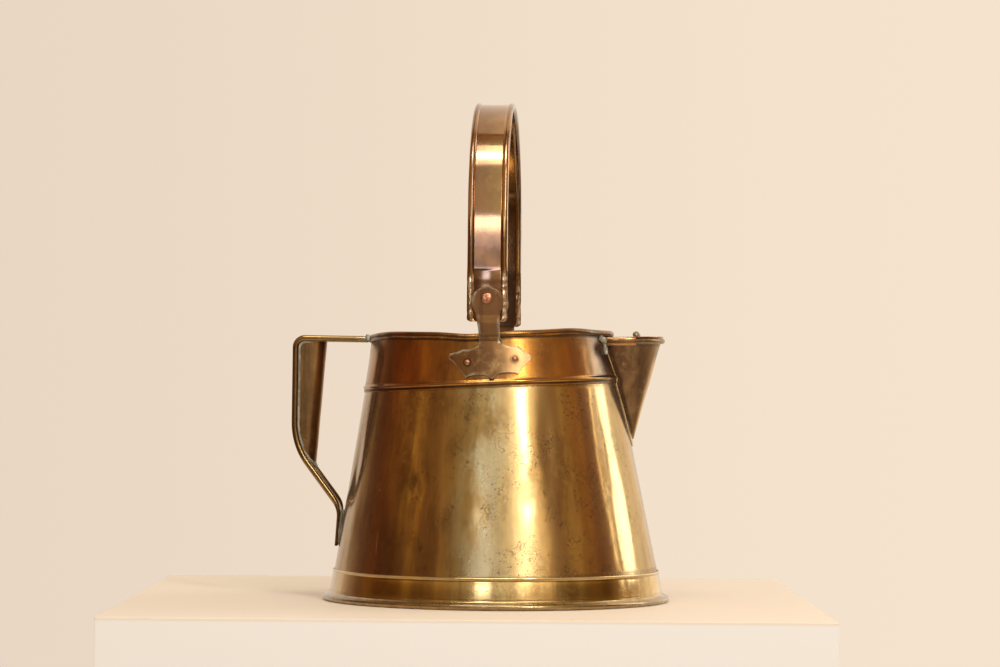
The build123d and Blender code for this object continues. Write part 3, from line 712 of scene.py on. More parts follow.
def neckOutline():
    low, bead = vessel["lap"], vessel["bead"]
    middle = neckRadius(beadZ) - vessel["sheet"] / 2
    points = [(neckRadius(low) - 0.8, low), (neckRadius(low) - 0.15, low),
              (neckRadius(low), low + 0.2)]
    z = low + 0.7
    while z < 155:
        points.append((wallRadius(z), z))
        z += 0.35
    for step in range(8):
        z = between(155, 179, step / 8)
        points.append((neckRadius(z), z))
    points += [(neckRadius(z), z) for z in (179.0, 179.8, 180.4)]
    points += arcPoints((middle, beadZ), bead, -52, 205, 24)
    inside = [(neckRadius(z) - 0.8, z) for z in (180.5, 176, 165, 156)]
    z = 155
    while z > low + 0.6:
        inside.append((wallRadius(z) - 0.8, z))
        z -= 0.5
    return points + inside


band = lathe(neckOutline())
for vert in band.verts:
    lift = ease(vert.co.z, 160, 182)
    vert.co.z += rimDip(frontAngle(vert.co)) * lift
    out = outward(vert.co)
    calm = ease(vert.co.z, 150, 160)
    vert.co.z += ringLift(vert.co.x, vert.co.z)
    vert.co += out * (0.18 * grain(vert.co, 26, 5) * calm
                      + neck["flare"] * ease(vert.co.z, 167, 181)
                      + 0.10 * grain(vert.co, 7, 6) * ease(vert.co.z, 179, 181))
band = cut(band, pourHole())


# painted shade under the rim bead, in dark lines below and above the ring and on the upper neck,
# where little light is reflected; the bead's top a little darker
def neckShadeAndGrime(point):
    level = point.z - ringLift(point.x, point.z)
    rim = point.z - rimDip(frontAngle(point)) - 180.3
    return (0.75 * near(rim, 0.2, 0.9) + 0.8 * near(level - 148.3, 0.4, 1.4)
            + 0.25 * near(level - 152.9, 0.3, 1.3) + 0.08 + 0.25 * ease(point.z, 179, 181)
            + 0.4 * ease(point.z, 168, 177) * (0.7 + 0.7 * grain(point, 9, 12)))


# a painted highlight: the ring's crest is paled
def neckRingHighlight(point):
    return 0.8 * near(point.z - ringLift(point.x, point.z) - vessel["ring"], 0.15, 0.7)


settle("neck_band_rim", band, "vessel_brass", ["neck_band"], finish="neck",
       marks={"grime": neckShadeAndGrime, "worn": neckRingHighlight})

foot = {"top": 21.5, "topRadius": 113.5, "lowRadius": 115.2, "wire": 2.1, "wireRadius": 117.9}


def footOutline():
    top, r = foot["top"], foot["topRadius"]
    points = [(coneRadius(top) + 0.55, top - 1.6)]
    points += arcPoints((r - 0.5, top - 0.7), 0.6, 130, -60, 12)
    points += [(r - 0.45, top - 1.7)]
    for step in range(14):
        share = step / 13
        points.append((between(r - 0.35, foot["lowRadius"], share ** 0.9),
                       between(top - 2.7, 6.4, share)))
    points += arcPoints((foot["lowRadius"] + 1.5, 6.2), 1.5, 185, 235, 4)
    points += arcPoints((foot["wireRadius"], foot["wire"]), foot["wire"], 112, -150, 28)
    points += [(coneRadius(2) + 0.9, 2.4), (coneRadius(8) + 0.7, 8)]
    return points


base = lathe(footOutline())
for vert in base.verts:
    out = outward(vert.co)
    vert.co += out * (0.07 * grain(vert.co, 30, 8)
                      + 0.10 * grain(vert.co, 9, 9) * (1 - ease(vert.co.z, 3, 7)))
    vert.co.z = max(0.0, vert.co.z + 0.25 * grain(vert.co, 34, 10) * ease(vert.co.z, 12, 20))


# a painted shade line under the hem; the cove and the flange darker and mottled
def footGrimeAndShade(point):
    cove = near(point.z - 5.8, 0.8, 3.4) * (0.8 + 0.5 * grain(point, 5, 11))
    return (0.5 * near(point.z - 19.7, 0.15, 0.6) + 0.6 * cove
            + 0.6 * (1 - ease(point.z, 3.5, 5.0)))


settle("foot_band_wired", base, "foot_brass", ["foot_band"], leaning=False, marks={
    "grime": footGrimeAndShade,
    # the hem's top is paled: a painted highlight; the wire's ridge is rubbed
    "worn": lambda p: 1.3 * ease(p.z, 20.2, 20.7) + 0.1 * near(p.z - 3.4, 0.2, 0.7)})
print("vessel made")


spout = {"x": 88.92, "z": 177.4, "radius": 28.5, "tipX": 95.27, "tipZ": 110.0, "tipRadius": 2.0,
         "wire": 1.9, "sheet": 0.8, "coverZ": 179.6, "skirt": 32.1, "hingeX": 100.62,
         "hingeWidth": 44.0}


def spoutCircle(z):
    t = (z - spout["tipZ"]) / (spout["z"] - spout["tipZ"])
    return between(spout["tipX"], spout["x"], t), between(spout["tipRadius"], spout["radius"], t)


def spoutJoint(z, r):  # the angle on the spout's own circle where it meets the vessel
    x = spoutCircle(z)[0]
    share = ((wallRadius(z, 83) + 0.1) ** 2 - x * x - r * r) / (2 * x * r)
    return math.acos(min(1, max(-1, share)))


def spoutWall(grow, rows=70, across=72):
    lines = []
    for i in range(rows + 1):
        z = between(spout["tipZ"], spout["z"], i / rows)
        x, r = spoutCircle(z)
        r += grow
        limit = spoutJoint(z, max(0.3, r))
        line = []
        for j in range(across + 1):
            a = between(-limit, limit, j / across)
            line.append((x + r * math.cos(a), r * math.sin(a), z))
        lines.append(line)
    return lines


outerRows, innerRows = spoutWall(0), spoutWall(-spout["sheet"])
horn = bmesh.new()
grids = [[[horn.verts.new(p) for p in row] for row in rows] for rows in (outerRows, innerRows)]
for grid in grids:
    for a, b in zip(grid, grid[1:]):
        for j in range(len(a) - 1):
            horn.faces.new((a[j], a[j + 1], b[j + 1], b[j]))
for side in (0, -1):
    for i in range(len(grids[0]) - 1):
        horn.faces.new((grids[0][i][side], grids[0][i + 1][side],
                        grids[1][i + 1][side], grids[1][i][side]))
for end in (0, -1):
    for j in range(len(grids[0][0]) - 1):
        horn.faces.new((grids[0][end][j], grids[0][end][j + 1],
                        grids[1][end][j + 1], grids[1][end][j]))
for vert in horn.verts:
    away = Vector((vert.co.x - spoutCircle(vert.co.z)[0], vert.co.y, 0))
    if away.length > 1:
        fade = ease(vert.co.x - wallRadius(vert.co.z) * 0.95, 0, 6)
        vert.co += away.normalized() * 0.28 * grain(vert.co, 19, 12) * fade


def onWall(along, z, lift):  # a point on the vessel's outside, by its arc from the spout's middle
    r = wallRadius(z, 83) + lift
    around = along / wallRadius(z, 83)
    return (r * math.cos(around), r * math.sin(around), z)


def jointLine():  # the joint as (arc, height), from one end down round the tip and up again
    side = []
    for i in range(61):
        z = between(174.6, spout["tipZ"] - 0.2, i / 60)
        x, r = spoutCircle(max(z, spout["tipZ"]))
        a = spoutJoint(max(z, spout["tipZ"]), r)
        px, py = x + r * math.cos(a), r * math.sin(a)
        side.append(Vector((math.atan2(py, px) * wallRadius(z, 83), z)))
    tip = [Vector((1.9 * math.cos(t), spout["tipZ"] - 0.2 - 1.9 * math.sin(t)))
           for t in (0.4, 0.8, 1.2, 1.57, 1.94, 2.34, 2.74)]
    return side + tip + [Vector((-p.x, p.y)) for p in side[::-1]]


def spoutFlange():
    line, rows = jointLine(), []
    section = [(-0.6, 0.05), (-0.6, 0.9), (0.2, 1.25), (0.9, 0.95), (2.4, 0.85), (2.85, 0.7),
               (3.0, 0.4), (3.0, 0.02)]
    for i, spot in enumerate(line):
        run = heading(line, i)
        side = Vector((-run.y, run.x))
        wide = 1 + 0.10 * grain((spot.x, spot.y, 0), 6, 14)
        rows.append([onWall(*(spot + side * (u * wide)), v + 0.05) for u, v in section])
    return loft(rows)


mouthLine = [(x, y, spout["z"]) for x, y in arcPoints(
    (spout["x"], 0), spout["radius"] + 0.8, -101, 101, 110)]
mouthWire = grown(pathMesh(mouthLine), rolledEdge, Radius=spout["wire"], Sides=20, Hammer=0.12,
                  Seed=5)


# darker where the horn meets the wall and just under the cover: grime and painted shade
def spoutGrimeAndShade(point):
    x, r = spoutCircle(min(max(point.z, spout["tipZ"]), spout["z"]))
    onHorn = math.hypot(point.x - x, point.y) - r
    fromWall = fromAxis(point) - wallRadius(point.z)
    return (0.7 * near(fromWall - 2.2, 0.3, 2.4)
            + 0.5 * near(point.z - 174.6, 0.4, 1.6) * (onHorn < 1))


# the nose is paled and made glossier: rubbed brass and a painted highlight; the mouth's top is
# rubbed
def spoutWearAndHighlight(point):
    nose = near(point.y / max(4, point.x - 88), 0.15, 0.5) * (1 - ease(point.z, 158, 170))
    return 1.3 * nose + 0.25 * (point.z > 177.8 and point.x < 98)


settle("spout_flange", spoutFlange(), "spout_brass", finish="flange", marks={
    "grime": lambda p: 0.35 * ease(grain(p, 6, 15), 0.1, 0.5)})
settle("spout_horn", joined(horn, mouthWire), "spout_brass", ["spout_shell"],
       marks={"grime": spoutGrimeAndShade, "worn": spoutWearAndHighlight,
              "green": lambda p: 0.55 * near(p.z - 175.6, 0.3, 1.2) * (p.x > 92)})


def coverDisc(radius, z, skirt):
    # a level sheet, its edge turned down over the wire where it has a skirt
    if skirt:
        outline = [(0, z), (radius - 1.9, z)] + arcPoints((radius - 1.6, z - 1.0), 0.9, 80, 0, 5)
        outline += [(radius - 0.8, z - 3.2), (radius - 1.5, z - 4.7), (radius - 1.1, z - 5.3),
                    (radius - 0.4, z - 4.6), (radius, z - 3.6), (radius + 0.1, z - 2.2)]
        outline += arcPoints((radius - 1.6, z - 0.9), 1.7, 0, 90, 7) + [(0, z + 0.8)]
    else:
        outline = [(0, z), (radius - 0.8, z)] + arcPoints((radius - 0.4, z + 0.4), 0.4, -90, 90, 6)
        outline += [(0, z + 0.8)]
    return outline


def dome(bm, middle, radius, rise, seed, amount=0.12):
    for vert in bm.verts:
        away = math.hypot(vert.co.x - middle, vert.co.y) / radius
        vert.co.z += rise * max(0, 1 - away * away) + amount * grain(vert.co, 15, seed)


def ringed(outline, steps):  # more rings across a disc, so that it can be domed
    made = []
    for (r0, z0), (r1, z1) in zip(outline, outline[1:] + outline[:1]):
        count = max(1, int(abs(r1 - r0) / steps))
        made += [(between(r0, r1, i / count), between(z0, z1, i / count)) for i in range(count)]
    return made


hinge = {"outer": 2.3, "bore": 1.5, "pin": 1.2, "gap": 0.15, "clear": 2.6}


def knuckleBarrel(x, z, width, toward, moving):
    # the sheet rolls round the pin from its web and ends in an open seam
    outer, bore = hinge["outer"], hinge["bore"]
    roll = [i * math.pi / 14 * -1 for i in range(1, 26)]
    outline = [(toward * 3.0, -outer), (toward * 0.2, -outer)]
    outline += [(toward * outer * math.sin(t), -outer * math.cos(t)) for t in roll]
    outline += [(toward * bore * math.sin(t), -bore * math.cos(t)) for t in roll[::-1]]
    outline += [(toward * 0.2, -bore), (toward * 3.0, -bore)]
    third = width / 3
    pieces = []
    for start in [-third / 2] if moving else [-1.5 * third, third / 2]:
        y0, y1 = start + hinge["gap"], start + third - hinge["gap"]
        rows = []
        for y in (y0, y0 + 0.12, (y0 + y1) / 2, y1 - 0.12, y1):
            tight = 0.96 if y in (y0, y1) else 1.0
            rows.append([(x + px * tight, y, z + pz * tight) for px, pz in outline])
        pieces.append(loft(rows))
    return joined(*pieces)


def leaf(sheet, x, z, width, toward, moving):
    # a cover cut off along its hinge and clear of the other leaf's knuckles, with its own
    for gap, half in ((hinge["gap"], 300), (hinge["clear"], width / 2 + 0.3)):
        ends = sorted((x + toward * gap, x - toward * 300))
        sheet = cut(sheet, block(*ends, -half, half, 100, 250))
    return joined(sheet, knuckleBarrel(x, z, width, toward, moving))


def pinRod(x, z, width):
    half, radius = width / 2 + 0.3, hinge["pin"]
    return rod(x, z, [(-half - 0.2, radius * 0.6), (-half, radius), (half, radius),
                      (half + 0.2, radius * 0.6)])


flapHinge = (spout["hingeX"], spout["coverZ"] + hinge["outer"], spout["hingeWidth"])
cover = lathe(ringed(coverDisc(spout["skirt"] + 0.7, spout["coverZ"], True), 4), 200,
              (spout["x"], 0))
for vert in cover.verts:
    vert.co.z += 0.10 * grain(vert.co, 16, 21)
cutter = lathe([(0, 100), (neckRadius(170) + 0.2, 100), (84.75, 180), (84.75, 184), (0, 184)], 200)
settle("spout_cover", leaf(cut(cover, cutter), *flapHinge, -1, False), "vessel_brass",
       ["spout_bridge"], finish="cover", marks={
           "grime": lambda p: 0.6 * (1 - ease(fromAxis(p) - 84.6, 0, 1.6)),
           "worn": lambda p: 0.5 * ease(math.hypot(p.x - spout["x"], p.y), 29, 32),
           "green": lambda p: 1.0 * (p.z > 181.0)})

flap = lathe(ringed(coverDisc(30.3, spout["coverZ"], False), 4), 200, (spout["x"], 0))
dome(flap, spout["x"] + 8, 32, 0.25, 22, 0.10)
settle("spout_flap_leaf", leaf(flap, *flapHinge, 1, True), "vessel_brass",
       ["spout_flap"], body="flap", finish="cover", marks={
           "worn": lambda p: 0.4 * ease(math.hypot(p.x - spout["x"], p.y), 29, 30),
           "green": lambda p: 0.6 * (p.z > 181.2)})


settle("flap_pin", pinRod(*flapHinge), "hinge_wire", ["spout_hinge_pin"],
       marks={"green": lambda p: 0.6})
print("spout made")


mouth = {"hingeX": 4.0, "coverZ": 175.2, "lidRadius": 79.28, "hem": 4.0, "hingeWidth": 70.0}
lidHinge = (mouth["hingeX"], mouth["coverZ"] + hinge["outer"], mouth["hingeWidth"])
edgeRadius = neckRadius(176) - 0.9


def frontOutline():
    z, r = mouth["coverZ"], edgeRadius
    low = neckRadius(z - 4) - 0.9
    points = [(0, z), (r - 1.7, z)] + arcPoints((r - 1.6, z - 0.8), 0.8, 80, 10, 4)
    points += [(low - 0.8, z - 4), (low, z - 4)]
    points += arcPoints((r - 1.5, z - 0.7), 1.5, 0, 90, 6) + [(0, z + 0.8)]
    return points


front = lathe(ringed(frontOutline(), 6), 240)
dome(front, 0, 80, 0.5, 31)
settle("front_cover_sheet", leaf(front, *lidHinge, 1, False), "inner_brass",
       ["front_cover"], marks={
           "grime": lambda p: 0.5 * ease(fromAxis(p), 74, 79)
           + 0.5 * near(p.x - lidHinge[0] - 3.4, 0.4, 3),
           "worn": lambda p: 0.5 * (p.z > 178.6)})


def lidOutline():
    z, r = mouth["coverZ"], mouth["lidRadius"]
    points = [(0, z), (r - 1.2, z)] + arcPoints((r - 0.8, z + 0.8), 0.8, -90, 90, 8)
    return points + [(r - mouth["hem"], z + 1.6), (r - mouth["hem"] - 0.15, z + 0.8), (0, z + 0.8)]


lid = lathe(ringed(lidOutline(), 6), 240)
dome(lid, 0, 80, 0.5, 32)
settle("lid_sheet", leaf(lid, *lidHinge, -1, True), "vessel_brass", ["lid"],
       body="lid", marks={
           "grime": lambda p: 0.6 * near(fromAxis(p) - 74.6, 0.2, 1.2)
           + 0.5 * near(p.x - lidHinge[0] + 3.4, 0.4, 3),
           "worn": lambda p: 0.6 * ease(fromAxis(p), 76, 79)})

lift = {"x": -70.28, "radius": 8.0, "rise": 10.0}


def liftTab():
    outline = [(0.0, 0.0), (3.2, 0.0), (3.6, 0.45), (3.2, 0.9), (1.5, 0.9), (1.0, 1.3)]
    rows = []
    for i in range(33):
        a = math.pi * i / 32
        y, top = lift["radius"] * math.cos(a), max(0.6, lift["rise"] * math.sin(a) ** 0.8)
        rows.append([(lift["x"] + px, y, 176.1 + pz) for px, pz in outline]
                    + [(lift["x"] + 0.9, y, 176.1 + max(1.35, top - 0.35)),
                       (lift["x"] + 0.45, y, 176.1 + max(1.4, top)),
                       (lift["x"], y, 176.1 + max(1.35, top - 0.35))])
    return loft(rows)


tab = liftTab()
for vert in tab.verts:
    vert.co.x = min(vert.co.x, lift["x"] + 3.6)
settle("lid_finger_lift", tab, "vessel_brass", ["lid_lift"], body="lid",
       marks={"worn": lambda p: ease(p.z, 183, 186), "grime": lambda p: 0.7 * (p.z < 177.2)})
settle("lid_pin", pinRod(*lidHinge), "hinge_wire", ["lid_hinge_pin"])
for node in ("bottom_disc", "lid_ledge"):
    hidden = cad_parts[node]
    for placeholder in hidden.material_slots:
        placeholder.material = finishes["inner_brass"]
print("covers made")


def strapSection(half, wire, sheet, proud, flat, flatHalf):
    # outline across a strap, its outer face up: a channel between two edges rolled round a wire,
    # which flat (0 to 1) hammers down to a hem
    rise, reach = sheet / 2, half - wire
    tall = between(wire, flatHalf, flat)
    middle = between(rise + proud - wire, rise * 0.2, flat)
    right = [(reach - wire * 1.02, rise)]
    for i in range(21):
        a = math.radians(between(152, -152, i / 20))
        right.append((reach + wire * math.cos(a), middle + tall * math.sin(a)))
    right.append((reach - wire * 1.02, -rise))
    return right + [(-u, v) for u, v in right[::-1]]


def sweep(stations):
    # stations of (point, out, across, section): the section's first number runs across
    rows = []
    for spot, out, across, outline in stations:
        rows.append([spot + across * u + out * v for u, v in outline])
    return loft(rows)


bail = {"pivotX": 2.5, "pivotZ": 206.7, "straight": 52.9, "tail": 15.7, "sheet": 0.9,
        "ease": 12.0, "outerFace": 83.28, "width": 27.1, "wire": 2.35, "hole": 2.4,
        "inward": 0.32}


def bailStations():  # points along the strap, its outer side, and how far above the pivot
    middle, soft, stride = bail["outerFace"] - bail["sheet"] / 2, bail["ease"], 1.0
    radius = middle + soft * soft / (6 * middle)
    along = -bail["straight"] - bail["tail"]
    spot = Vector((0, -middle, bail["pivotZ"] - bail["tail"]))
    half = []
    while along < radius * math.pi / 2 - 0.01:
        if along > soft:
            facing = along / radius
        else:
            facing = max(0, along + soft) ** 2 / (4 * soft * radius)
        half.append((spot.copy(), Vector((0, -math.cos(facing), math.sin(facing)))))
        spot += Vector((0, math.sin(facing), math.cos(facing))) * stride
        along += stride
    spots = half + [(Vector((p.x, -p.y, p.z)), Vector((0, -n.y, n.z))) for p, n in half[::-1]]
    return [(p, n, p.z - bail["pivotZ"]) for p, n in spots]


def bailStrap():
    stations = []
    for spot, out, rise in bailStations():
        flat = 1 - ease(rise, 13.5, 24)
        corner = max(0, 2.2 - (rise + bail["tail"]))
        half = bail["width"] / 2 - (2.2 - math.sqrt(max(0, 2.2 ** 2 - corner ** 2)))
        worn = 0.35 * flat * grain((spot.x, spot.y, spot.z), 5, 41)
        outline = strapSection(half + min(0, worn), bail["wire"], bail["sheet"], 1.1, flat, 0.55)
        stations.append((spot, out, Vector((1, 0, 0)), outline))
    return sweep(stations)


strap = bailStrap()
for vert in strap.verts:
    low = 1 - ease(vert.co.z, bail["pivotZ"] + 8, bail["pivotZ"] + 26)
    edge = ease(abs(vert.co.x), 7, 11)
    vert.co.y += 0.15 * low * edge * grain(vert.co, 3.2, 42)
    vert.co.y += 0.06 * grain((0, vert.co.y, vert.co.z), 16, 43)
    vert.co.x += 0.10 * grain(vert.co, 14, 44)
    inward = bail["inward"] * ease(vert.co.z, bail["pivotZ"] + 11, bail["pivotZ"] + 22)
    vert.co.y -= inward * min(1, max(-1, vert.co.y / 20))
    vert.co.x += bail["pivotX"]
strap = cut(strap, rod(bail["pivotX"], bail["pivotZ"],
                       [(-120, bail["hole"]), (120, bail["hole"])], 32))
strap.transform(Matrix.Translation((bail["pivotX"], 0, bail["pivotZ"]))
                @ Matrix.Rotation(math.radians(vessel["lean"]), 4, "Y")
                @ Matrix.Translation((-bail["pivotX"], 0, -bail["pivotZ"])))


# painted shade in the creases beside the rolled edges and on the strap's inner side; darker along
# the edges low down by the pivot
def bailShadeAndGrime(point):
    across = abs(point.x - bail["pivotX"])
    crease = near(across - 8.7, 0.2, 0.8)
    low = 1 - ease(point.z, bail["pivotZ"] + 10, bail["pivotZ"] + 24)
    crown = bail["pivotZ"] + bail["straight"]
    depth = bail["outerFace"] - math.hypot(point.y, max(0, point.z - crown))
    inside = ease(depth, 0.6, 0.85) * (1 - ease(across, 8.8, 9.8))
    inside = max(inside, 0.8 * ease(depth, 1.2, 2.0))
    return (0.85 * crease * (1 - low) + 0.4 * near(across - 9.4, 0.3, 1.4) * low
            + 0.95 * inside)


def bailWorn(point):
    across = abs(point.x - bail["pivotX"])
    return 0.9 * near(across - 11.4, 0.8, 2.2) * (0.8 + 0.4 * grain(point, 9, 45))


def bailTin(point):
    low = 1 - ease(point.z, bail["pivotZ"] + 14, bail["pivotZ"] + 24)
    ridge = near(abs(point.x - bail["pivotX"]) - 11.6, 0.5, 1.5)
    return low * ridge * (0.7 + 0.7 * grain(point, 4, 46))


settle("bail_handle", strap, "handle_brass", ["bail_strap"], body="bail", sharp=21,
       marks={"grime": bailShadeAndGrime, "worn": bailWorn, "tin": bailTin})


def filleted(points, radii, step=1.2):  # an open line with rounded corners
    spots = [Vector(points[0])]
    for before, corner, after, radius in zip(points, points[1:], points[2:], radii):
        before, corner, after = Vector(before), Vector(corner), Vector(after)
        a, b = (before - corner).normalized(), (after - corner).normalized()
        angle = a.angle(b)
        length = radius / math.tan(angle / 2)
        start, end = corner + a * length, corner + b * length
        middle = corner + (a + b).normalized() * (radius / math.sin(angle / 2))
        turns = max(4, int(radius * (math.pi - angle) / step))
        first = start - middle
        whole = first.angle_signed(end - middle)
        for i in range(turns + 1):
            t = -whole * i / turns
            spots.append(middle + Vector((first.x * math.cos(t) - first.y * math.sin(t),
                                          first.x * math.sin(t) + first.y * math.cos(t))))
    spots.append(Vector(points[-1]))
    line = [spots[0]]
    for spot in spots[1:]:
        run = spot - line[-1]
        count = max(1, int(run.length / (step * 1.6)))
        base = line[-1].copy()
        line += [base + run * (i / count) for i in range(1, count + 1)]
    return line


fixed = {"width": 27.1, "wire": 2.1, "sheet": 0.9, "tab": 1.05, "knee": 64.3,
         "line": [(-83.9, 184.0), (-137.68, 185.8), (-139.88, 108.6), (-108.22, 64.3),
                  (-110.56, 39.3)],
         "radii": [8.5, 50.0, 15.0]}


def insetLine(points, radii, inset):
    spots = [Vector(p) for p in points]
    ways = [(b - a).normalized() for a, b in zip(spots, spots[1:])]
    ways = [Vector((-w.y, w.x)) for w in ways]
    made = [spots[0] + ways[0] * inset]
    for spot, a, b in zip(spots[1:], ways, ways[1:]):
        made.append(spot + (a + b) * (inset / (1 + a.dot(b))))
    made.append(spots[-1] + ways[-1] * inset)
    return made, [radii[0] - inset, radii[1] - inset, radii[2] + inset]


def fixedStations():
    line = filleted(*insetLine(fixed["line"], fixed["radii"], fixed["wire"]))
    stations = []
    for i, spot in enumerate(line):
        run = heading(line, i)
        out = Vector((run.y, 0, -run.x))
        flat = 1 - ease(spot.y, fixed["knee"] - 5, fixed["knee"] + 9)
        flat = max(flat, 0.9 * ease(spot.x, -88, -84.5))
        half = fixed["width"] / 2 + 0.5 * flat * grain((spot.x, spot.y, 0), 9, 51)
        outline = strapSection(half, fixed["wire"], fixed["sheet"], 1.65, flat, fixed["tab"])
        shift = out * (1.05 * flat * (spot.y < 90))
        stations.append((Vector((spot.x, 0, spot.y)) + shift, out, Vector((0, -1, 0)), outline))
    return stations


handle = sweep(fixedStations())
for vert in handle.verts:
    vert.co.y += 0.15 * grain(vert.co, 18, 52)
    vert.co.x += 0.14 * grain(vert.co, 11, 53) * (1 - ease(vert.co.z, 60, 80))


# painted shade in the crease beside each rolled edge, higher than the knee
def handleCreaseShade(point):
    return 0.8 * near(abs(point.y) - 9.2, 0.2, 0.9) * ease(point.z, 62, 76)


settle("fixed_handle", handle, "handle_brass", ["handle_strap"], sharp=21, finish="olive_strap",
       marks={"grime": handleCreaseShade,
              "worn": lambda p: 0.5 * ease(abs(p.y), 10.5, 12.5) * (0.7 + 0.5 * grain(p, 10, 54)),
              "green": lambda p: 0.7 * ease(p.x, -92, -86) * (p.z > 170)})

grip = {"half": 9.25, "crest": -114.58, "slant": 6.0}


def gripMiddle(z):  # where the grip's flat sides end and its round nose starts
    return grip["crest"] - (185 - z) * math.tan(math.radians(grip["slant"])) - grip["half"]


def gripForm():
    half = grip["half"]
    rows = []
    for i in range(61):
        z = between(190, 70, i / 60)
        middle = gripMiddle(z)
        row = [(-175 - z * 0.01, -half, z)]
        row += [(between(-160, middle, j / 8), -half, z) for j in range(8)]
        row += [(middle + half * math.sin(math.radians(a)), -half * math.cos(math.radians(a)), z)
                for a in range(0, 181, 5)]
        row += [(between(middle, -160, j / 8), half, z) for j in range(1, 9)]
        row.append((-175 - z * 0.01, half, z))
        rows.append(row)
    return loft(rows)


insideLine = filleted(*insetLine(fixed["line"], fixed["radii"], fixed["wire"] + 0.55))
insideOutline = [(p.x, p.y) for p in insideLine] + [(-60, 39.3), (-60, insideLine[0].y)]
form = cut(gripForm(), prism(insideOutline, -60, 60), "INTERSECT")
form = worked(form, ("BEVEL", {"width": 0.35, "segments": 2, "limit_method": "ANGLE",
                               "angle_limit": math.radians(50)}))
for vert in form.verts:
    vert.co += Vector((0.18, 0, 0)) * grain(vert.co, 17, 55)


# painted shade on the grip's round nose and low down; darker along its soldered edges
def gripShadeAndGrime(point):
    line = near(abs(abs(point.y) - grip["half"]) + 0.3 * abs(point.x + 136), 0.3, 2.0)
    nose = ease(point.x - gripMiddle(point.z), 4.5, 8.5)
    return 0.4 * line + 0.3 * (1 - ease(point.z, 90, 99)) + 0.45 * nose


settle("handle_grip_nose", form, "handle_brass", ["handle_grip"], finish="grip",
       marks={"grime": gripShadeAndGrime})
print("handles made")


ear = {"y": 84.68, "discY": 83.78, "disc": 10.8, "discDrop": 2.8, "tilt": 3.0, "sheet": 1.2,
       "drop": 40.4, "tongue": 7.0, "tongueTop": 8.7, "neckRise": 14.6, "spacing": 31.6,
       "rivetDrop": 1.7, "tips": {1: (26.4, -1.0), -1: (28.0, 2.6)}}


def hollowed(start, end, depth, count):  # a scallop between two cusps
    start, end = Vector(start), Vector(end)
    run = end - start
    side = Vector((-run.y, run.x))
    return [start + run * (i / count) + side * (depth * 4 * (i / count) * (1 - i / count))
            for i in range(count + 1)]


def earEdges(wing):  # the lower and upper outline of one wing, from the middle outward
    tipX, tipZ = ear["tips"][wing]
    lower = hollowed((0, -14.2), (9.6, -10.6), 0.13, 12)
    lower += hollowed((9.6, -10.6), (17.3, -12.1), 0.09, 10)[1:]
    lower += hollowed((17.3, -12.1), (tipX - 1.6, tipZ - 2.4), 0.03, 14)[1:]
    upper = [Vector((tipX - 1.6, tipZ + 2.2))]
    upper += hollowed((tipX - 1.6, tipZ + 2.2), (18.4, 7.0), 0.05, 12)[1:]
    upper += hollowed((18.4, 7.0), (12.2, 7.2), 0.05, 6)[1:]
    upper += hollowed((12.2, 7.2), (7.0, 11.0), 0.14, 8)[1:]
    for step in range(1, 9):
        a = math.radians(between(-58, 0, step / 8))
        lower.append(Vector((tipX - 2.6 + 2.6 * math.cos(a), tipZ + 2.6 * math.sin(a))))
        a = math.radians(between(0, 58, (step - 1) / 8))
        upper.insert(step - 1, Vector((tipX - 2.6 + 2.6 * math.cos(a), tipZ + 2.6 * math.sin(a))))
    return lower, upper


def heightAt(line, x):
    for a, b in zip(line, line[1:]):
        low, high = min(a.x, b.x), max(a.x, b.x)
        if low <= x <= high and high > low:
            return between(a.y, b.y, (x - a.x) / (b.x - a.x))
    return min(line, key=lambda spot: abs(spot.x - x)).y


def earSurface(x, z):  # inner face of an ear at a place in its front view, z from the pivot
    height = bail["pivotZ"] + z
    bend, clear = beadZ - 4.5, beadZ - 1.1
    joggle = bail["pivotZ"] - bail["tail"]
    radius = neckRadius(min(height, bend)) + 0.25
    plate = math.sqrt(max(1, radius * radius - x * x))
    if height < bend:
        return plate
    if height < clear:
        return between(plate, ear["y"], ease(height, bend, clear))
    return between(ear["y"], ear["discY"], ease(height, joggle, joggle + 3.6))


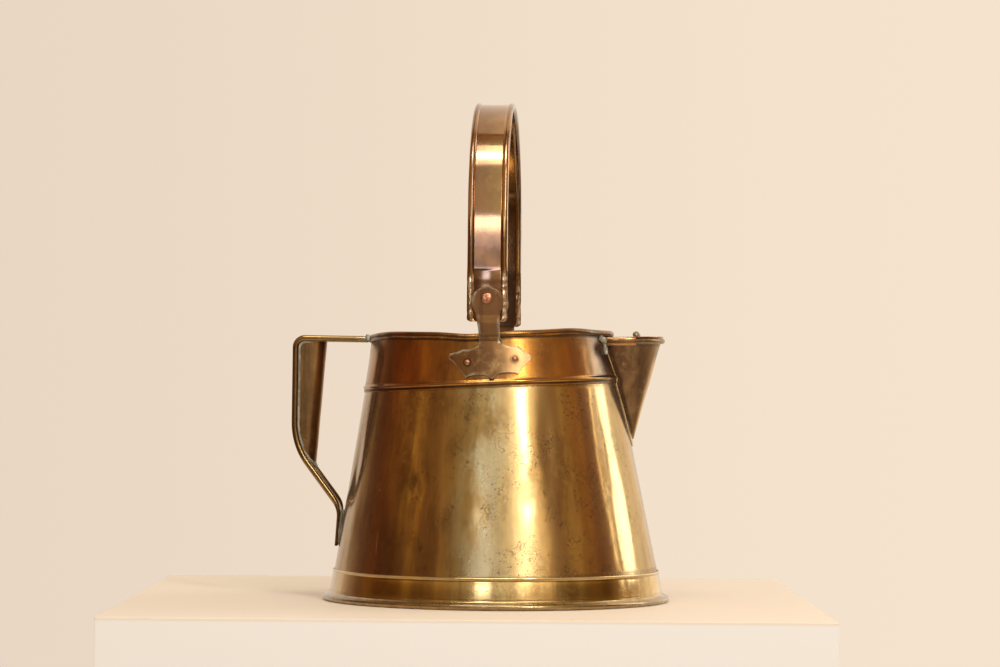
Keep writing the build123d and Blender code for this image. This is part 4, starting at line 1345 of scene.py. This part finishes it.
def earPlate(side, seed):
    edges, columns = {}, []
    for wing in (-1, 1):
        edges[wing], tip = earEdges(wing), ear["tips"][wing][0]
        spread = {round(tip * math.sin(math.pi / 2 * i / 34), 3) for i in range(35)}
        columns += [wing * c for c in spread | {7.0, 9.6, 12.2, 17.3, 18.4, 2.3, 4.6}]
    columns = sorted(set(columns))
    grid, rows = {}, 24
    bm = bmesh.new()
    tilt = math.radians(ear["tilt"])

    def spot(x, z):
        jag = 0.14 * grain((x, z, seed), 2.4, seed)
        px = x * math.cos(tilt) - z * math.sin(tilt)
        pz = x * math.sin(tilt) + z * math.cos(tilt) + jag
        beat = 0.05 * grain((x, z, 0), 7.0, seed + 3)
        px += bail["pivotX"]
        return bm.verts.new((px, -side * (earSurface(px, pz) + beat), bail["pivotZ"] + pz))

    for i, x in enumerate(columns):
        lower, upper = edges[-1 if x < 0 else 1]
        low, high = heightAt(lower, abs(x)), heightAt(upper, abs(x)) if abs(x) > 7 else 14.6
        for j in range(rows + 1):
            grid[i, j] = spot(x, between(low, high, j / rows) - ear["drop"])
    for i in range(len(columns) - 1):
        for j in range(rows):
            bm.faces.new((grid[i, j], grid[i + 1, j], grid[i + 1, j + 1], grid[i, j + 1]))
    middle = [i for i, x in enumerate(columns) if abs(x) <= 7.001]
    before = [grid[i, rows] for i in middle]
    levels = []
    start = ear["neckRise"] - ear["drop"]
    reachZ = -ear["discDrop"] - ear["disc"] * 0.6
    for i in range(1, 15):
        t = i / 14
        levels.append((between(start, reachZ, t), between(ear["tongue"], ear["tongueTop"], t * t)))
    for i in range(1, 25):
        a = math.radians(between(-36.9, 88, i / 24))
        levels.append((-ear["discDrop"] + ear["disc"] * math.sin(a), ear["disc"] * math.cos(a)))
    for z, half in levels:
        row = [spot(columns[i] / 7.0 * half, z) for i in middle]
        for k in range(len(row) - 1):
            bm.faces.new((before[k], before[k + 1], row[k + 1], row[k]))
        before = row
    bmesh.ops.remove_doubles(bm, verts=bm.verts, dist=0.02)
    return worked(bm, ("SOLIDIFY", {"thickness": ear["sheet"], "offset": side}),
                  ("BEVEL", {"width": 0.28, "segments": 2, "limit_method": "ANGLE",
                             "angle_limit": math.radians(55)}), turned=False)


earOutlines = {wing: earEdges(wing) for wing in (-1, 1)}


def earEdgeDistance(point):
    tilt = math.radians(-ear["tilt"])
    x, z = point.x - bail["pivotX"], point.z - bail["pivotZ"]
    px = x * math.cos(tilt) - z * math.sin(tilt)
    wing = -1 if px < 0 else 1
    (lower, upper), px = earOutlines[wing], abs(px)
    if z > -6:
        return ear["disc"] - math.hypot(x, z + ear["discDrop"])
    pz = x * math.sin(tilt) + z * math.cos(tilt) + ear["drop"]
    if px < 7 and pz > 10:
        return 7 - px if pz < 30 else 9
    if px > ear["tips"][wing][0] - 0.3:
        return 0
    return min(pz - heightAt(lower, px), heightAt(upper, max(px, 7.001)) - pz)


def rivetSpot(along, lift):
    tilt = math.radians(ear["tilt"])
    down = ear["drop"] + ear["rivetDrop"]
    x = bail["pivotX"] + along * math.cos(tilt) + down * math.sin(tilt)
    z = bail["pivotZ"] + along * math.sin(tilt) - down * math.cos(tilt)
    around = math.asin(x / neckRadius(z))
    lean = math.radians(vessel["coneAngle"])
    out = Vector((math.sin(around), -math.cos(around), 0))
    normal = out * math.cos(lean) + Vector((0, 0, math.sin(lean)))
    return out * neckRadius(z) + Vector((0, 0, z)) + normal * lift, normal


def headsAt(spots, radius, rise, seed, hammer=0.25):
    bm = bmesh.new()
    layer = bm.verts.layers.float_vector.new("facing")
    for spot, normal in spots:
        vert = bm.verts.new(spot)
        vert[layer] = normal
    return grown(bm, rivetHeads, Hammer=hammer, Seed=seed,
                 **{"Head Radius": radius, "Head Rise": rise})


def ringMesh(x, y, z, inner, outer, depth):
    rows = []
    for i in range(40):
        a = 2 * math.pi * i / 40
        rows.append([(x + r * math.cos(a), y + d, z + r * math.sin(a))
                     for r, d in ((inner, 0), (outer, 0), (outer, depth), (inner, depth))])
    return skinRows(rows, closeAll=True)


rivetPlaces = [rivetSpot(s * ear["spacing"] / 2, 0)[0] for s in (-1, 1)]


def earShadeAndGrime(point):  # painted shade round the rivets, the pivot and at the bend
    rivet = min(math.hypot(point.x - r.x, point.z - r.z) for r in rivetPlaces)
    pivot = math.hypot(point.x - bail["pivotX"], point.z - bail["pivotZ"])
    return (0.8 * (1 - ease(rivet, 2.6, 4.0)) + 0.3 * near(point.z - 187.5, 0.5, 3)
            + 0.3 * (1 - ease(pivot, 3.9, 5.4)))


# a painted highlight on the right wing, where the key lamp reflects; rubbed near the bend
def earHighlightAndWear(point):
    low = ease(point.x + 3 * grain(point, 8, 63), 4, 22) * (point.z < 178)
    return 0.3 * near(point.z - 181.5, 0.5, 2.0) + 0.7 * low


def earTin(point):
    return 0.7 * near(earEdgeDistance(point) - 0.6, 0.2, 0.7) * (0.4 + 0.8 * grain(point, 8, 62))


for side, label, seed in ((1, "right", 61), (-1, "left", 67)):
    settle(label + "_ear_plate", earPlate(side, seed), "ear_brass", [label + "_ear"], marks={
        "green": lambda p: 0.9 * (1 - ease(earEdgeDistance(p), 0.05, 0.5)) * (p.z < 190),
        "tin": earTin, "grime": earShadeAndGrime, "worn": earHighlightAndWear})
    flip = Vector((1, side, 1))
    spots, backs = [[(p * flip, n * flip) for p, n in [
        rivetSpot(s * ear["spacing"] / 2, lift) for s in (-1, 1)]] for lift in (1.25, -0.9)]
    backs = [(p, -n) for p, n in backs]
    heads = joined(headsAt(spots, 2.0, 1.0, seed), headsAt(backs, 2.3, 1.0, seed + 1))
    settle(label + "_ear_rivet_heads", heads, "rivet_copper", [label + "_ear_rivets"])
    out = Vector((0, -side, 0))
    pivotSpot = Vector((bail["pivotX"], -side * (ear["discY"] + ear["sheet"]), bail["pivotZ"]))
    tailSpot = Vector((bail["pivotX"], -side * (bail["outerFace"] - 2.0), bail["pivotZ"]))
    shank = rod(bail["pivotX"], bail["pivotZ"], [(pivotSpot.y, 2.2), (tailSpot.y, 2.2)])
    heads = joined(headsAt([(pivotSpot, out)], 3.7, 1.4, seed + 2, 0.8),
                   headsAt([(tailSpot, -out)], 3.25, 1.7, seed + 3, 0.3), shank)
    settle(label + "_pivot_rivet_heads", heads, "rivet_copper", [label + "_pivot_rivet"])
    ringY = -side * (bail["outerFace"] - bail["sheet"] - 0.06)
    washer = worked(ringMesh(bail["pivotX"], ringY, bail["pivotZ"], 2.27, 5.0, side * 1.0),
                    ("BEVEL", {"width": 0.2, "segments": 2}))
    settle(label + "_pivot_washer_disc", washer, "ear_brass", [label + "_pivot_washer"],
           marks={"grime": lambda p: 0.3})
print("ears made")


def solderWedge():
    endX, endZ = fixed["line"][-1]
    rows = []
    for i in range(19):
        z = between(40.6, 63.6, i / 18)
        outerX = endX + 2.15 + (z - endZ) * (2.34 / 25.0)
        wallX = -coneRadius(z) + 0.1
        outerX = min(outerX, wallX - 0.25)
        row = []
        bulge = 0.55 + 0.35 * grain((0, 0, z), 5, 71)
        for j in range(9):
            y = between(-11.4, 11.4, j / 8)
            row.append((outerX, y, z))
        row += [(between(outerX, wallX, t), 11.4 + bulge * math.sin(math.pi * t), z)
                for t in (0.25, 0.5, 0.75)]
        for j in range(9):
            row.append((wallX + abs(11.4 - j * 2.85) ** 2 / 230, 11.4 - j * 2.85, z))
        row += [(between(wallX, outerX, t), -11.4 - bulge * math.sin(math.pi * t), z)
                for t in (0.25, 0.5, 0.75)]
        rows.append(row)
    return loft(rows)


beads = [solderBead([(-coneRadius(z) - 0.9, y, z) for z in range(42, 63, 2)], 0.8, seed)
         for y, seed in ((11.6, 72), (-11.6, 73))]
settle("handle_foot_solder", joined(solderWedge(), *beads), "soft_solder", ["handle_solder"])


def gripSeam():  # round the grip, along the inner side of the strap's wired edges
    around = filleted(*insetLine(fixed["line"], fixed["radii"], 2 * fixed["wire"] + 0.2))
    flat = [p for p in around if p.x < gripMiddle(p.y) and p.y > 80][::2]
    lower = [p for p in around if p.y < 105]

    def nose(degrees, top):
        a, z = math.radians(degrees), 181.9 if top else 95
        for _ in range(6):
            x = gripMiddle(z) + grip["half"] * math.sin(a)
            z = z if top else min(lower, key=lambda p: abs(p.x - x)).y
        return (x + 0.2, -(grip["half"] + 0.2) * math.cos(a), z)

    line = [(p.x, -grip["half"] - 0.1, p.y) for p in flat[::-1]]
    line += [nose(a, True) for a in range(0, 181, 15)]
    line += [(p.x, grip["half"] + 0.1, p.y) for p in flat]
    return line + [nose(a, False) for a in range(180, -1, -15)]


settle("grip_solder", solderBead(gripSeam(), 1.15, 74, 0.6, 0.5, closed=True), "soft_solder")

rimJoint = [solderBead([(-85.6, y, 181.6 + 0.6 * math.cos(y / 5)) for y in range(-13, 14, 2)],
                       1.35, 77, 0.5, 0.5)]
for side, seed in ((-1, 78), (1, 79)):
    rimJoint.append(solderBead([(-85.6, side * 12.6, 184.2), (-84.9, side * 14.2, 182.8),
                                (-84.3, side * 14.6, 180.8)], 1.5, seed, 0.4, 0.7))
settle("rim_joint_solder", joined(*rimJoint), "soft_solder")

corner = []
for side, seed in ((-1, 81), (1, 82)):
    a = math.radians(21.3)
    corner.append(solderBead([
        ((wallRadius(z) + 0.7) * math.cos(a), side * (wallRadius(z) + 0.7) * math.sin(a), z)
        for z in (168.5, 170.5, 172.4, 174.2, 176, 177.8, 179.6)], 1.7, seed, 0.7, 0.9))
    blob = [(math.radians(24.8 - 0.75 * i), 180.0 - 0.5 * i) for i in range(6)]
    corner.append(solderBead([
        ((neckRadius(z) + 1.1) * math.cos(b), side * (neckRadius(z) + 1.1) * math.sin(b), z)
        for b, z in blob], 1.9, seed + 4, 0.5, 0.9))
settle("spout_corner_solder", joined(*corner), "soft_solder")
print("solder made")


def stageObject(name, bm, finish):
    thing = looseObject(bm, name)
    thing.data.materials.append(finish)
    return thing


stand = block(-0.253, 0.217, -0.204, 0.269, -1.0, 0.0)
stand = worked(stand, ("BEVEL", {"width": 0.0006, "segments": 2}))
stand.transform(Matrix.Rotation(turn, 4, "Z"))
paint = Finish("painted stand")
# the front face is painted paler than the top, standing in for the light that falls on it: painted
# light
tone = paint.mix(paint.z.ramp(-0.003, -0.0008), colour(255, 249, 242), colour(250, 233, 212))
stageObject("stand", stand, paint.done(tone, 0.5 + paint.noise(paint.place, 40.0) * 0.2, 0.0))

sky = bpy.data.worlds.new("room")
bpy.context.scene.world = sky
sky.use_nodes = True
sky.node_tree.nodes.clear()
air = Desk(sky.node_tree)
rays = [air.node("ShaderNodeLightPath", out=name)
        for name in ("Is Camera Ray", "Is Glossy Ray", "Is Transmission Ray")]
toward = air.parts(air.node("ShaderNodeTexCoord", out="Generated"))[0]
# the backdrop is painted darker toward the left, where less light falls: painted shade
wallShadeGradient = air.node("ShaderNodeMix", {"data_type": "RGBA"}, {
    0: toward.ramp(-0.28, 0.10), 6: colour(232, 213, 194), 7: colour(245, 227, 205)}, 2)
background = air.node("ShaderNodeBackground", None, (wallShadeGradient, 1.0))
ambient = air.node("ShaderNodeBackground", None, (colour(240, 228, 212), 0.74))
shown = toward.math("MAXIMUM", toward.math("MAXIMUM", rays[0], rays[1]), rays[2])
room = air.node("ShaderNodeMixShader", None, (shown, ambient, background))
air.node("ShaderNodeOutputWorld", None, (room,))

# a painted surround stands where the dim side of the room would be: only the metal reflects it
surround = {"radius": 2.1, "low": -0.9, "high": 2.3, "from": -132, "to": 156}
profile = ((1, surround["low"]), (1, surround["high"]), (0.75, 2.6), (0.05, 2.7))
rows = []
for i in range(67):
    a = math.radians(between(surround["from"], surround["to"], i / 66) + camera["turn"])
    rows.append([(surround["radius"] * r * math.sin(a), -surround["radius"] * r * math.cos(a), z)
                 for r, z in profile])
far = Finish("dim side of the room")
around = far.around()
share = (around - camera["turn"] + 180) / 360
# degrees round from the camera, and the colour there
tones = [(-132, 205, 180, 158), (-118, 150, 118, 98), (-108, 114, 80, 54), (-98, 150, 102, 52),
         (-88, 176, 122, 60), (-70, 166, 122, 66), (-67, 228, 180, 104),
         (-63, 228, 180, 104), (-58, 160, 118, 70), (-44, 172, 134, 82), (-41, 200, 160, 104),
         (-37, 184, 148, 96), (-26, 196, 172, 134), (-12, 214, 202, 174), (-2, 240, 230, 208),
         (5, 285, 274, 252), (17, 310, 296, 270), (33, 330, 302, 258), (38, 306, 276, 226),
         (43, 206, 180, 142), (50, 188, 156, 112), (56, 190, 156, 106), (61, 220, 188, 132),
         (66, 188, 152, 92), (75, 198, 152, 78), (82, 160, 118, 56), (90, 176, 134, 78),
         (104, 190, 158, 112), (114, 236, 206, 160), (126, 276, 254, 216),
         (142, 292, 264, 220), (156, 280, 256, 222)]
tone = far.node("ShaderNodeValToRGB", {"stops": [
    ((a + 180) / 360, colour(r, g, b)) for a, r, g, b in tones]}, (share,))
ahead = 1 - around.math("ABSOLUTE", around).ramp(85.0, 102.0)
tone = far.mix((1 - far.z.ramp(0.38, 0.62)) * ahead, tone, (0.28, 0.22, 0.17, 1.0), "MULTIPLY")
glow = far.node("ShaderNodeEmission", None, (tone, 1.0))
far.node("ShaderNodeOutputMaterial", None, (glow,))
dim = stageObject("dim_surround", skinRows(rows, closeRow=False), far.material)
dim.visible_camera = dim.visible_diffuse = dim.visible_shadow = dim.visible_transmission = False


def softbox(name, azimuth, low, high, wide, glow, tint=(255, 250, 242)):
    # an upright lamp, its glow being how bright it looks in a mirror
    light = bpy.data.lights.new(name, "AREA")
    light.shape, light.size, light.size_y = "RECTANGLE", wide, high - low
    light.energy = glow * math.pi * wide * (high - low)
    light.color = colour(*tint)[:3]
    thing = bpy.data.objects.new(name, light)
    bpy.context.scene.collection.objects.link(thing)
    a = math.radians(azimuth) + turn
    thing.location = (math.sin(a) * 1.35, -math.cos(a) * 1.35, (low + high) / 2)
    thing.rotation_euler = (math.pi / 2, 0, a)
    return thing


softbox("key", 25, 0.54, 1.75, 0.14, 16.0, (255, 252, 250))
softbox("key_spill", 19.0, 0.325, 0.50, 0.22, 2.6)
softbox("window", 109.5, 0.2, 1.5, 0.31, 3.6, (255, 253, 250))
softbox("window_gap", 96.5, 0.2, 1.5, 0.06, 3.8, (255, 252, 246))
softbox("low_patch", -9, 0.325, 0.445, 0.22, 6.8, (236, 238, 255))
for name, deep, glow, height in (("ceiling", 0.75, 3.0, 1.9), ("ceiling_shine", 0.28, 8.5, 1.89)):
    overhead = softbox(name, 0, 0, deep, 1.0, glow)
    overhead.location, overhead.rotation_euler = (-0.1, -0.76, height), (0, 0, 0)
overhead.visible_diffuse = False  # the shine is seen in the metal only
print("stage and lights set")

bpy.context.scene.view_settings.view_transform = "Standard"
